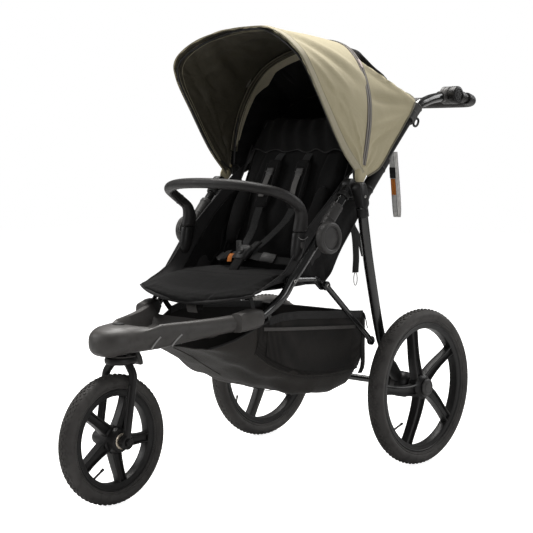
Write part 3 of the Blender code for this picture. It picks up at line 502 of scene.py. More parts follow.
def stage_and_camera():
    """Pale floor, soft studio light and the camera."""
    size = 9.0
    bm = bmesh.new()
    corners = [bm.verts.new(p) for p in ((-size, -size, 0), (size, -size, 0), (size, size, 0),
                                         (-size, size, 0))]
    bm.faces.new(corners)
    floor = made(bm)
    floor.name = "floor"
    floor.location.z = -0.0006
    floor.data.materials.append(MAT["floor"])
    bpy.context.scene.collection.objects.link(floor)
    world = bpy.data.worlds.new("studio")
    world.use_nodes = True
    tree = MAT["floor"].node_tree
    rays = tree.nodes.new("ShaderNodeLightPath")
    glow = tree.nodes.new("ShaderNodeMath")
    glow.operation = "MULTIPLY"
    glow.inputs[1].default_value = 0.92
    tree.links.new(rays.outputs["Is Camera Ray"], glow.inputs[0])
    tree.links.new(glow.outputs[0], tree.nodes["Principled BSDF"].inputs["Emission Strength"])
    tree = world.node_tree
    lit = tree.nodes["Background"]
    lit.inputs[0].default_value = (1.0, 1.0, 1.0, 1)
    lit.inputs[1].default_value = 0.13
    seen = tree.nodes.new("ShaderNodeBackground")
    seen.inputs[1].default_value = 1.0
    seen.inputs[0].default_value = (1.0, 1.0, 1.0, 1)
    mix = tree.nodes.new("ShaderNodeMixShader")
    rays = tree.nodes.new("ShaderNodeLightPath")
    tree.links.new(rays.outputs["Is Camera Ray"], mix.inputs[0])
    tree.links.new(lit.outputs[0], mix.inputs[1])
    tree.links.new(seen.outputs[0], mix.inputs[2])
    tree.links.new(mix.outputs[0], tree.nodes["World Output"].inputs[0])
    bpy.context.scene.world = world
    target = Vector((0, -MIDDLE_Y, 0.55))
    for place, wide, power, colour in (
        ((-0.9, 0.5, 3.5), 2.2, 190, (1.0, 0.985, 0.96)),
        ((-2.6, -2.2, 1.9), 1.6, 34, (1.0, 1.0, 1.0)),
        ((2.9, -1.2, 1.4), 1.2, 16, (1.0, 1.0, 1.0)),
        ((1.2, 2.9, 2.2), 1.8, 42, (1.0, 1.0, 1.0)),
    ):
        data = bpy.data.lights.new("softbox", "AREA")
        data.size, data.energy, data.color = wide, power, colour
        light = bpy.data.objects.new("softbox", data)
        light.location = place
        light.rotation_mode = "QUATERNION"
        light.rotation_quaternion = (target - Vector(place)).to_track_quat("-Z", "Y")
        bpy.context.scene.collection.objects.link(light)
    azimuth, elevation, distance = math.radians(42.29), math.radians(4.86), 3.377
    right = Vector((math.cos(azimuth), math.sin(azimuth), 0))
    back = Vector((math.sin(azimuth) * math.cos(elevation), -math.cos(azimuth) * math.cos(elevation),
                   math.sin(elevation)))
    aim = Vector((0, -MIDDLE_Y, 0.5)) + right * 0.0786 + back.cross(right) * 0.0185
    data = bpy.data.cameras.new("camera")
    data.lens, data.sensor_width, data.clip_start = 92.48, 36, 0.05
    camera = bpy.data.objects.new("camera", data)
    camera.location = aim + back * distance
    camera.rotation_mode = "QUATERNION"
    camera.rotation_quaternion = (-back).to_track_quat("-Z", "Y")
    bpy.context.scene.collection.objects.link(camera)
    bpy.context.scene.camera = camera
    bpy.context.scene.view_settings.view_transform = "Standard"


stage_and_camera()


# ---------------------------------------------------------------- wheels
FRONT_R, REAR_R = 0.150, 0.200
REAR_AXLE = (0.403, 0.200)


def tyre(centre, radius):
    """Carcass with a ribbed sidewall and rows of tread blocks."""
    half = [
        (radius - 0.0330, 0.0130), (radius - 0.0330, 0.0152), (radius - 0.0315, 0.0168),
        (radius - 0.0300, 0.0172),
        (radius - 0.0290, 0.0192), (radius - 0.0275, 0.0196), (radius - 0.0262, 0.0190),
        (radius - 0.0245, 0.0206),
        (radius - 0.0200, 0.0224), (radius - 0.0160, 0.0230), (radius - 0.0130, 0.0225),
        (radius - 0.0105, 0.0208),
        (radius - 0.0080, 0.0186), (radius - 0.0055, 0.0160), (radius - 0.0036, 0.0120),
        (radius - 0.0022, 0.0070),
        (radius - 0.0018, 0.0),
    ]
    profile = half + [(r, -x) for r, x in reversed(half[:-1])]
    body = lathe(profile, centre, steps=128, closed=True)
    bm = bmesh.new()
    count = int(round(2 * math.pi * radius / 0.0155))
    centre = Vector(centre)
    for k in range(count):
        for row, (x, wide, long, high, lean, shift) in enumerate((
            (0.0026, 0.0034, 0.0050, 0.0000, 0.5, 0.0), (0.0092, 0.0048, 0.0044, 0.0016, -0.5, 0.5),
            (0.0154, 0.0046, 0.0056, 0.0058, 0.35, 0.0),
        )):
            for way in (1, -1):
                angle = 2 * math.pi * (k + shift + (0.5 if way < 0 else 0.0)) / count
                out = Vector((0, math.cos(angle), math.sin(angle)))
                along = Vector((0, -math.sin(angle), math.cos(angle)))
                tilt = (0.0, 0.28, 0.85)[row]
                normal = (out * math.cos(tilt) + LEFT * (way * math.sin(tilt))).normalized()
                across = (LEFT * math.cos(tilt) - out * (way * math.sin(tilt))).normalized()
                middle = centre + out * (radius - high) + LEFT * (way * x)
                skew = across * lean * way
                ring = []
                for u, v in ((-1, -1), (1, -1), (1, 1), (-1, 1)):
                    ring.append(middle + across * (u * wide / 2) + (along + skew * 0.6) * (v * long / 2))
                low = [bm.verts.new(p - normal * 0.0030 + (p - middle) * 0.12) for p in ring]
                top = [bm.verts.new(p) for p in ring]
                bm.faces.new(top)
                for i in range(4):
                    bm.faces.new((low[i], low[(i + 1) % 4], top[(i + 1) % 4], top[i]))
    blocks = made(bm)
    return joined([body, blocks])


def spoke(centre, side, angle, hub_r, rim_r, curl):
    """One curved spoke: a dished blade with a raised ridge along each edge."""
    centre = Vector(centre)
    rows = []
    steps = 14
    for i in range(steps + 1):
        t = i / steps
        r = hub_r + (rim_r - hub_r) * t
        a = angle - curl * (1 - t) ** 1.5
        out = Vector((0, math.cos(a), math.sin(a)))
        across = Vector((0, -math.sin(a), math.cos(a)))
        wide = 0.0106 + 0.0048 * (1 - t) ** 1.6 + 0.0020 * max(0.0, t - 0.75) * 4
        thick = 0.0135 - 0.0015 * t
        ring = []
        for u, w in (
            (-1.0, 0.35), (-0.98, 0.86), (-0.84, 1.0), (-0.66, 0.95), (-0.50, 0.50), (0.0, 0.40),
            (0.50, 0.50), (0.66, 0.95), (0.84, 1.0), (0.98, 0.86), (1.0, 0.35),
        ):
            ring.append(centre + out * r + across * (u * wide) + LEFT * (side * w * thick))
        for u, w in ((1.0, -0.55), (0.9, -0.80), (0.5, -0.88), (0.0, -0.90), (-0.5, -0.88), (-0.9, -0.80),
                     (-1.0, -0.55)):
            ring.append(centre + out * r + across * (u * wide) + LEFT * (side * w * thick))
        rows.append(ring)
    return lofted(rows, True, True)


def wheel(prefix, centre, radius, side, hub_half, phase, curl, valve, body):
    piece(tyre(centre, radius), f"{prefix}_tyre_treaded", "tyre", body, f"{prefix}_tyre", 30)
    seat, inner = radius - 0.0333, radius - 0.0500
    ring = [
        (seat, 0.0132), (seat + 0.0004, 0.0150), (seat - 0.0012, 0.0164), (seat - 0.0034, 0.0160),
        (seat - 0.0046, 0.0142),
        (inner + 0.0070, 0.0130), (inner + 0.0040, 0.0128), (inner + 0.0008, 0.0112), (inner, 0.0085),
    ]
    rim = [lathe(ring + [(r, -x) for r, x in reversed(ring)], centre, steps=128, closed=True)]
    for k in range(5):
        rim.append(spoke(centre, side, phase + 2 * math.pi * k / 5, 0.020, inner + 0.004, curl))
    hub = [
        (0.0066, -hub_half), (0.0240, -hub_half), (0.0270, -hub_half + 0.003), (0.0290, -0.0130),
        (0.0325, -0.0100),
        (0.0335, 0.0), (0.0325, 0.0100), (0.0290, 0.0130), (0.0262, hub_half - 0.0045),
        (0.0240, hub_half - 0.0010),
        (0.0215, hub_half), (0.0190, hub_half), (0.0185, hub_half - 0.0022), (0.0122, hub_half - 0.0022),
        (0.0122, 0.0100),
        (0.0066, 0.0100),
    ]
    rim.append(lathe(hub, centre, (side, 0, 0), 64, True))
    piece(joined(rim), f"{prefix}_rim_spoked", "rim", body, f"{prefix}_rim", 32)
    a = math.radians(valve)
    out = Vector((0, math.cos(a), math.sin(a)))
    foot = Vector(centre) + out * (inner + 0.001)
    lean = (-out + LEFT * side * 0.55).normalized()
    stem = [foot, foot + lean * 0.008, foot + lean * 0.030]
    piece(tube(stem, lambda t: 0.0034 - 0.0008 * min(1.0, t * 3), 12), f"{prefix}_valve_stem", "tyre", body)
    cap = [foot + lean * 0.0245, foot + lean * 0.0335]
    piece(tube(cap, 0.0033, 12), f"{prefix}_valve_cap", "plastic", body)


def front_wheel_and_fork():
    centre = (0.0, -0.403, FRONT_R)
    _, y, z = centre
    wheel("front", centre, FRONT_R, 1, 0.0330, math.radians(-5), 0.14, 235, "front_wheel")
    for side, word in SIDES:
        face = [(0.0105, 0.0), (0.0105, 0.0016), (0.0120, 0.0026), (0.0165, 0.0026), (0.0182, 0.0012),
                (0.0182, 0.0)]
        place = (side * 0.0310, y, z)
        piece(lathe(face, place, (side, 0, 0), 48, True), f"front_bearing_{word}", "bearing", "front_wheel")
    bar = []
    bar.append(lathe(
        [(0, 0.0172), (0.0200, 0.0172), (0.0225, 0.0182), (0.0300, 0.0180), (0.0345, 0.0160),
         (0.0370, 0.0120),
         (0.0370, 0.0045), (0.0350, 0.0012), (0.0300, 0.0), (0.0, 0.0)], (0, -0.376, 0.3200), (0, 0, 1),
        64))
    bar.append(lathe([(0, 0.0640), (0.0100, 0.0640), (0.0118, 0.0622), (0.0118, 0.0160), (0, 0.0160)],
                     (0, -0.376, 0.3200), (0, 0, 1), 40))
    for side, word in SIDES:
        leg = rounded_path(
            on_side([(0.021, -0.376, 0.3285), (0.0465, -0.379, 0.300), (0.0465, -0.4020, 0.158)], side),
            0.030, 10)
        bar.append(swept(leg, ellipse(0.0100, 0.0080, 24, 0.9), (0, -1, 0.2)))
        boss = [(0, -0.0080), (0.0150, -0.0080), (0.0165, -0.0065), (0.0165, 0.0060), (0.0150, 0.0080),
                (0.0118, 0.0085), (0.0112, 0.0070), (0, 0.0070)]
        bar.append(lathe(boss, (side * 0.0465, y, z), (side, 0, 0), 40))
        fork_rib = [(side * 0.0465, -0.3835, 0.276), (side * 0.0465, -0.3925, 0.216),
                    (side * 0.0465, -0.3985, 0.176)]
        bar.append(swept(smooth_path(fork_rib), ellipse(0.0112, 0.0035, 16, 0.7), (side, 0, 0)))
    piece(joined(bar), "fork_shaped", "plastic", "fork", "front_fork", 38)
    axle = [lathe([(0, -0.0540), (0.0058, -0.0540), (0.0058, 0.0540), (0, 0.0540)], centre, (1, 0, 0), 24)]
    for side, word in SIDES:
        nut = lathe([(0.0052, 0.0552), (0.0096, 0.0552), (0.0102, 0.0562), (0.0102, 0.0600),
                     (0.0086, 0.0616), (0.0052, 0.0616)],
                    centre, (side, 0, 0), 6, True)
        axle.append(softened(nut, 0.0004, 2))
        axle.append(lathe([(0, 0.0530), (0.0048, 0.0530), (0.0048, 0.0600), (0.0040, 0.0612), (0, 0.0612)],
                          centre, (side, 0, 0), 24))
    piece(joined(axle), "front_axle_nuts", "plastic", "fork", "front_axle", 30)
    repaint("steering_bush", "steel")
    skirt = lathe([(0.0305, 0.3375), (0.0345, 0.3378), (0.0350, 0.3390), (0.0350, 0.3400),
                   (0.0300, 0.3400)],
                  (0, -0.376, 0), (0, 0, 1), 64, True)
    piece(skirt, "steering_seal", "tyre", "frame")
    outline = [(-0.3375, 0.3400), (-0.3372, 0.3446), (-0.3345, 0.3462), (-0.3290, 0.3464),
               (-0.3245, 0.3400),
               (-0.3190, 0.3300), (-0.3158, 0.3175), (-0.3170, 0.3132), (-0.3240, 0.3120),
               (-0.3300, 0.3180),
               (-0.3325, 0.3260)]
    lock = [plate(outline, -0.0110, 0.0110, 0.0018)]
    for k in range(5):
        z_rib = 0.3165 + 0.0024 * k
        y_rib = -0.3165 - 0.0006 * k - 0.0008
        lock.append(tube([(-0.0085, y_rib, z_rib), (0.0085, y_rib, z_rib)], 0.0007, 8))
    piece(joined(lock), "swivel_lock_ribbed", "grey_plastic", "swivel_lock", "swivel_lock_lever")


def rear_wheels():
    y, z = REAR_AXLE
    for side, word in SIDES:
        body = f"rear_wheel_{word}"
        wheel(f"rear_{word}", (side * 0.271, y, z), REAR_R, side, 0.0200, math.radians(32), -0.24, 221,
              body)
        cap = [(0, 0.0240), (0.0100, 0.0242), (0.0130, 0.0236), (0.0136, 0.0226), (0.0150, 0.0226),
               (0.0158, 0.0236),
               (0.0190, 0.0230), (0.0215, 0.0208), (0.0220, 0.0190), (0.0215, 0.0183), (0.0100, 0.0183),
               (0.0100, 0.0130),
               (0, 0.0130)]
        piece(lathe(cap, (side * 0.276, y, z), (side, 0, 0), 56), f"hub_cap_{word}", "grey_plastic",
              f"release_{word}",
              f"wheel_button_{word}", 35)


front_wheel_and_fork()
rear_wheels()


# ---------------------------------------------------------------- footrest platform
def platform_half_width(y):
    nose_y, nose_r = -0.390, 0.062
    if y < nose_y:
        return math.sqrt(max(nose_r**2 - (y - nose_y) ** 2, 0.0))
    return nose_r + 0.128 * ((y - nose_y) / 0.270) ** 1.25


def platform():
    """Tray with a full nose, raised arms and a folded-down skirt, in one skin."""
    profile = smooth_path([(0, y, f) for y, f in (
        (-0.4515, 0.3760), (-0.4450, 0.3945), (-0.4280, 0.4045), (-0.4000, 0.4110), (-0.3600, 0.4085),
        (-0.3200, 0.3960),
        (-0.2700, 0.3800), (-0.2200, 0.3715), (-0.1800, 0.3695), (-0.1550, 0.3920), (-0.1400, 0.4020))], 5)
    rows = []
    for p in profile:
        y, floor = p.y, p.z
        t = max(0.0, (y + 0.452) / 0.312)
        w = max(0.004, platform_half_width(y))
        nose = max(0.0, 1 - (y + 0.452) / 0.030)
        low = 0.3390 + 0.047 * t**1.3 + 0.014 * nose**2
        heel = max(0.0, (y + 0.1800) / 0.040)
        crest = min(floor, 0.4040) if t < 0.12 else 0.4040 + 0.024 * t**3 + 0.006 * math.sin(math.pi * t)
        pod = max(0.0, 1 - t / 0.30)
        bottom = low + 0.004 * heel
        half = [
            (0.0, bottom), (w * 0.45, bottom), (w * 0.78, low + 0.0006), (w * 0.92, low + 0.0045),
            (w * 0.985, low + 0.0120),
            (w, low + 0.022), (w * 0.998, (low + crest) / 2 + 0.004),
            (w * 0.985, crest - 0.012 - 0.006 * pod),
            (w * 0.955, crest - 0.0045 - 0.006 * pod), (w * 0.915, crest - 0.0010 - 0.0055 * pod),
            (w * 0.870, crest - 0.0045 * pod),
            (w * 0.820, crest - 0.0028 - 0.001 * pod),
            (w * 0.775, crest + (floor - crest) * 0.45 - 0.002 * pod),
            (w * 0.740, floor + 0.0045 * (1 - pod) - 0.004 * pod),
            (w * 0.68, floor + 0.0010 - 0.0035 * pod), (w * 0.45, floor - 0.0012 * pod), (0.0, floor),
        ]
        round_off = min(1.0, max(0.0, (0.42 - t) / 0.24))
        mixed = []
        for i, (a, b) in enumerate(half):
            angle = math.pi * i / 16
            c = w * math.sin(angle) ** 0.72
            d = (bottom + floor) / 2 - (floor
                                        - bottom) / 2 * math.copysign(abs(math.cos(angle)) ** 0.85,
                                                                      math.cos(angle))
            mixed.append((a + (c - a) * round_off, b + (d - b) * round_off))
        rows.append([Vector((a, y, b)) for a, b in mixed]
                    + [Vector((-a, y, b)) for a, b in reversed(mixed[1:-1])])
    body = [lofted(rows, True, True)]
    for side, word in SIDES:
        ear = []
        for y, x, half_w, low, high in (
            (-0.165, 0.1615, 0.0190, 0.3850, 0.4290), (-0.150, 0.1655, 0.0200, 0.386, 0.4325),
            (-0.134, 0.1690, 0.0195, 0.388, 0.4368), (-0.120, 0.1715, 0.0186, 0.390, 0.4376),
            (-0.110, 0.1732, 0.0176, 0.393, 0.4368), (-0.101, 0.1752, 0.0160, 0.397, 0.4345),
            (-0.0985, 0.1759, 0.0140, 0.400, 0.4320),
        ):
            ear.append(section((side * x, y, (low + high) / 2), half_w, (high - low) / 2, LEFT, UP, 0.62,
                               24))
        body.append(lofted(ear, True, True))
    piece(joined(body), "platform_moulded", "platform", "frame", "footrest_platform", 42)
    for side, word in SIDES:
        for k, y in enumerate((-0.3480, -0.3010)):
            line = []
            for i in range(13):
                t = i / 12
                yy = y - 0.002 + 0.022 * t
                w = platform_half_width(yy)
                u = max(0.0, (yy + 0.452) / 0.312)
                low = 0.3390 + 0.044 * u**1.6
                crest = 0.404 + 0.010 * math.sin(math.pi * min(u * 1.4, 1.0)) + 0.024 * u**3
                line.append(Vector((side * (w + 0.0001), yy,
                                    low + 0.009 + (crest - low - 0.018) * 0.55 * t**0.8)))
            ring = ellipse(0.0022, 0.0005, 12, 0.6)
            piece(swept(line, ring, (side, 0, 0)), f"accent_line_{word}_{k + 1}", "accent", "frame")
        grips = []
        for k in range(6):
            y = -0.2900 + 0.018 * k
            top = next(a.z + (b.z - a.z) * (y - a.y) / (b.y - a.y) for a, b in zip(profile, profile[1:])
                       if b.y >= y)
            w = platform_half_width(y)
            grips.append(tube([(side * w * 0.10, y, top), (side * w * 0.60, y + 0.004, top - 0.0002)],
                              0.0011, 10))
        piece(joined(grips), f"tread_ribs_{word}", "platform", "frame")
        screws = []
        for y in (-0.250, -0.185):
            w = platform_half_width(y)
            t = (y + 0.452) / 0.312
            low = 0.3390 + 0.044 * t**1.6
            screws.append(screw((side * w * 0.55, y, low - 0.0002), (0, 0, -1), 0.0045))
        piece(joined(screws), f"platform_screws_{word}", "steel", "frame")
    cap = lathe([(0, 0.0042), (0.0100, 0.0042), (0.0135, 0.0030), (0.0150, 0.0), (0.0150, -0.003),
                 (0, -0.003)],
                (0, -0.382, 0.4100), (0, 0, 1), 48)
    piece(cap, "steering_cap", "plastic", "frame")


def screw(place, way, radius):
    """A socket-head screw, with its recess."""
    r = radius
    return lathe([(0, -0.0003), (r * 0.42, -0.0003), (r * 0.46, 0.0007), (r * 0.85, 0.0009), (r, 0.0002),
                  (r, -0.0012), (0, -0.0012)],
                 place, way, 20)


# ---------------------------------------------------------------- frame tubes and joints
FRONT_TUBE = [
    (0.170, -0.116, 0.404), (0.187, -0.077, 0.434), (0.204, -0.050, 0.463), (0.2105, -0.026, 0.498),
    (0.2145, 0.009, 0.537), (0.218, 0.060, 0.595), (0.2215, 0.120, 0.662), (0.222, 0.180, 0.728),
]
LEG = [
    (0.2480, 0.182, 0.706), (0.2420, 0.206, 0.620), (0.2330, 0.240, 0.512), (0.2195, 0.303, 0.340),
    (0.2155, 0.347, 0.262), (0.2140, 0.390, 0.213),
]
PUSHER = [
    (0.196, 0.2545, 0.6860), (0.196, 0.3000, 0.7375), (0.196, 0.4600, 0.8985), (0.196, 0.5250, 0.9330),
    (0.196, 0.6060, 0.9480),
]
APEX, CANOPY, HUB = (0.182, 0.706), (0.222, 0.752), (0.075, 0.596)
BRACE_PIVOT, BRACE_END = (0.122, 0.4745), (0.300, 0.322)
HANDLE = (0.622, 0.9505)
PUSH_WAY = Vector((0, 0.74, 0.67)).normalized()
PUSH_UNDER = Vector((0, 0.67, -0.74)).normalized()


def frame_parts():
    for side, word in SIDES:
        path = smooth_path(on_side(FRONT_TUBE, side))
        piece(tube(path, 0.0110, 24), f"front_tube_round_{word}", "paint", "frame", f"front_tube_{word}")
        piece(tube(smooth_path(on_side(LEG, side)), 0.0125, 24), f"rear_leg_round_{word}", "paint",
              "rear_frame", f"rear_leg_{word}")
        piece(tube(smooth_path(on_side(PUSHER, side)), 0.0130, 24), f"pusher_tube_round_{word}", "paint",
              "pusher",
              f"pusher_tube_{word}")
        hub_cover(side, word)
        piece(screw((side * 0.2214, -0.026, 0.498), (side, 0, 0), 0.0044), f"tube_screw_{word}", "steel",
              "frame")
        collar = [path[0] + (path[4] - path[0]) * 0.50, path[0] + (path[4] - path[0]) * 0.95]
        piece(tube(collar, 0.0138, 24), f"ear_collar_{word}", "plastic", "frame")
        apex(side, word)
        brace(side, word)
        housing(side, word)
    axle = [tube([(-0.2795, *REAR_AXLE), (0.2795, *REAR_AXLE)], 0.0058, 20),
            tube([(-0.2290, *REAR_AXLE), (0.2290, *REAR_AXLE)], 0.0088, 24)]
    piece(joined(axle), "rear_crossbar", "paint", "rear_frame", "rear_axle")
    rail()
    pedal()


def hub_cover(side, word):
    """Dished round cover with a raised rim and a ring groove, on a sleeve round the tube."""
    y, z = HUB
    x = 0.2410
    profile = [
        (0, 0.0066), (0.0090, 0.0060), (0.0180, 0.0052), (0.0245, 0.0052), (0.0262, 0.0044),
        (0.0272, 0.0044),
        (0.0285, 0.0082), (0.0305, 0.0098), (0.0330, 0.0100), (0.0358, 0.0088), (0.0378, 0.0064),
        (0.0385, 0.0030),
        (0.0385, -0.0040), (0.0379, -0.0046), (0.0379, -0.0058), (0.0385, -0.0064), (0.0383, -0.0095),
        (0.0350, -0.0120),
        (0, -0.0120),
    ]
    body = [lathe(profile, (side * x, y, z), (side, 0, 0), 72)]
    sleeve = on_side([(0.2200, 0.082, 0.6210), (0.2205, 0.088, 0.6275), (0.2222, 0.128, 0.6715)], side)
    body.append(tube(smooth_path(sleeve, 4), 0.0150, 28))
    for t in (0.22, 0.86):
        p = Vector(sleeve[1]).lerp(Vector(sleeve[2]), t)
        way = (Vector(sleeve[2]) - Vector(sleeve[1])).normalized()
        body.append(lathe([(0.0145, -0.0016), (0.0154, -0.0016), (0.0160, -0.0008), (0.0160, 0.0008),
                           (0.0154, 0.0016), (0.0145, 0.0016)],
                          p, way, 40, True))
    lug = section((side * 0.2290, y, z), 0.0300, 0.0300, BACK, UP, 1.0, 40)
    back = section((side * 0.2120, y - 0.001, z), 0.0190, 0.0190, BACK, UP, 1.0, 40)
    body.append(lofted([lug, back], True, True))
    piece(joined(body), f"hub_cover_dished_{word}", "grey_plastic", "frame", f"hub_cover_{word}", 35)
    piece(screw((side * 0.2300, 0.0880 + 0.0180, 0.6480), (side, -0.15, 0.1), 0.0040),
          f"sleeve_screw_{word}", "steel", "frame")


def apex(side, word):
    fitting = [
        plate(capsule((0.172, 0.7215), APEX, 0.0145, 0.0150), side * 0.2100, side * 0.2338, 0.0024),
        tube([(side * 0.1890, *APEX), (side * 0.2570, *APEX)], 0.0040, 20),
    ]
    ring = lathe([(0.0118, -0.006), (0.0142, -0.006), (0.0150, -0.004), (0.0150, 0.004), (0.0142, 0.006),
                  (0.0118, 0.006)],
                 (side * 0.2222, 0.150, 0.6955), (Vector((0, 0.66, 0.72))), 32, True)
    fitting.append(ring)
    piece(joined(fitting), f"apex_fitting_shaped_{word}", "plastic", "frame", f"apex_fitting_{word}", 35)
    top, foot = (0.1800, 0.7125), (0.1900, 0.6760)
    cap = [plate(capsule(top, foot, 0.0152, 0.0142, 16), side * 0.2348, side * 0.2614, 0.0042)]
    panel = plate(capsule((0.1810, 0.7085), (0.1892, 0.6795), 0.0102, 0.0094, 16), side * 0.2604,
                  side * 0.2618, 0.0006)
    cap.append(panel)
    lower = smooth_path(on_side([(0.2452, 0.1938, 0.664), (0.2437, 0.2000, 0.6420)], side), 4)
    cap.append(tube(lower, 0.0148, 28))
    piece(joined(cap), f"leg_cap_shaped_{word}", "plastic", "rear_frame", f"leg_cap_{word}", 35)
    piece(screw((side * 0.2618, 0.1856, 0.6920), (side, 0, 0), 0.0036), f"leg_cap_screw_{word}", "steel",
          "rear_frame")
    path = smooth_path(on_side(PUSHER, side))
    lug = [
        plate(capsule(APEX, (0.2560, 0.6920), 0.0150, 0.0170, 14), side * 0.1860, side * 0.2088, 0.0026),
        tube([path[0], path[0].lerp(path[16], 0.45)], 0.0160, 28),
        lathe([(0, 0.0045), (0.0142, 0.0045), (0.0150, 0.0038), (0.0150, -0.0045), (0, -0.0045)],
              (side * 0.2085, *CANOPY), (side, 0, 0), 40),
        lathe([(0.0085, 0.0040), (0.0090, 0.0052), (0.0112, 0.0052), (0.0118, 0.0040)],
              (side * 0.2085, *CANOPY), (side, 0, 0), 40, True),
        plate(capsule(CANOPY, (0.232, 0.700), 0.0100, 0.0120), side * 0.1990, side * 0.2080, 0.0015),
    ]
    for t in (0.10, 0.34):
        p = path[0].lerp(path[16], t)
        way = (path[16] - path[0]).normalized()
        lug.append(lathe([(0.0155, -0.002), (0.0168, -0.002), (0.0174, 0.0), (0.0168, 0.002),
                          (0.0155, 0.002)], p, way, 32, True))
    piece(joined(lug), f"pusher_lug_shaped_{word}", "plastic", "pusher", f"pusher_lug_{word}", 35)


def brace(side, word):
    x = side * 0.1925
    a, b = Vector((x, *BRACE_PIVOT)), Vector((x, *BRACE_END))
    bar = [tube([a, b], 0.0072, 22)]
    for end, r in ((a, 0.0115), (b, 0.0115)):
        bar.append(lathe([(0, 0.0048), (r - 0.001, 0.0048), (r, 0.0036), (r, -0.0036), (r - 0.001, -0.0048),
                          (0, -0.0048)],
                         end, (1, 0, 0), 32))
    piece(joined(bar), f"brace_round_{word}", "paint", "braces", f"brace_{word}")
    piece(screw((side * 0.1975, *BRACE_PIVOT), (side, 0, 0), 0.0042), f"brace_screw_{word}", "steel",
          "braces")


def rail():
    half = [(0.1962, -0.0200, 0.4985), (0.1780, 0.0060, 0.4960), (0.1780, 0.1040, 0.4900)]
    body = [tube(rounded_path(half + [(-q[0], q[1], q[2]) for q in reversed(half)], 0.022, 6), 0.0080, 20)]
    for side, word in SIDES:
        body.append(plate(capsule((0.0970, 0.4905), BRACE_PIVOT, 0.0080, 0.0110), side * 0.1745,
                          side * 0.1815, 0.0012))
        body.append(tube([(side * 0.1780, *BRACE_PIVOT), (side * 0.1850, *BRACE_PIVOT)], 0.0035, 14))
    piece(joined(body), "seat_rail_round", "paint", "frame", "seat_rail", 35)


def housing(side, word):
    """Brake drum cover with ribs and a lighter band, and the socket on the leg's foot."""
    y, z = REAR_AXLE
    profile = [
        (0, 0.0400), (0.0150, 0.0400), (0.0180, 0.0396), (0.0240, 0.0362), (0.0275, 0.0330),
        (0.0315, 0.0270), (0.0330, 0.0215),
        (0.0330, 0.0150), (0.0318, 0.0142), (0.0318, 0.0118), (0.0330, 0.0110), (0.0330, -0.0060),
        (0.0318, -0.0068),
        (0.0318, -0.0092), (0.0328, -0.0100), (0.0290, -0.0220), (0.0240, -0.0340), (0.0180, -0.0378),
        (0.0130, -0.0390),
        (0, -0.0390),
    ]
    leg = smooth_path(on_side(LEG, side))
    body = [lathe(profile, (side * 0.2050, y, z), (side, 0, 0), 64), tube(leg[-13:], 0.0147, 28)]
    web = [Vector((side * 0.2158, 0.3530, 0.2560)), Vector((side * 0.2145, 0.3840, 0.2190)),
           Vector((side * 0.2100, 0.4000, 0.2000))]
    body.append(swept(smooth_path(web, 4), ellipse(0.0140, 0.0150, 20, 0.8), LEFT))
    for k in range(6):
        a = math.radians(200 + 22 * k)
        out = Vector((0, math.cos(a), math.sin(a)))
        rib = [Vector((side * 0.2290, y, z)) + out * 0.0322, Vector((side * 0.1950, y, z)) + out * 0.0326]
        body.append(tube(rib, 0.0014, 8))
    piece(joined(body), f"brake_housing_ribbed_{word}", "plastic", "rear_frame", f"brake_housing_{word}",
          35)
    band = lathe([(0.0320, -0.0050), (0.0333, -0.0046), (0.0336, 0.0), (0.0333, 0.0090), (0.0320, 0.0096)],
                 (side * 0.2050, y, z), (side, 0, 0), 64, True)
    piece(band, f"brake_band_{word}", "grey_plastic", "rear_frame")


def pedal():
    outline = [(0.4372, 0.1902), (0.4440, 0.1958), (0.4520, 0.1966), (0.4640, 0.1880), (0.4780, 0.1758),
               (0.4832, 0.1660),
               (0.4830, 0.1612), (0.4740, 0.1602), (0.4600, 0.1672), (0.4460, 0.1762)]
    body = [plate(outline, 0.176, 0.226, 0.0026)]
    for k in range(5):
        y, z = 0.4590 + 0.0044 * k, 0.1921 - 0.0040 * k
        body.append(tube([(0.1800, y, z), (0.2220, y, z)], 0.0011, 8))
    piece(joined(body), "brake_pedal_ribbed", "platform", "brake", "brake_pedal", 35)


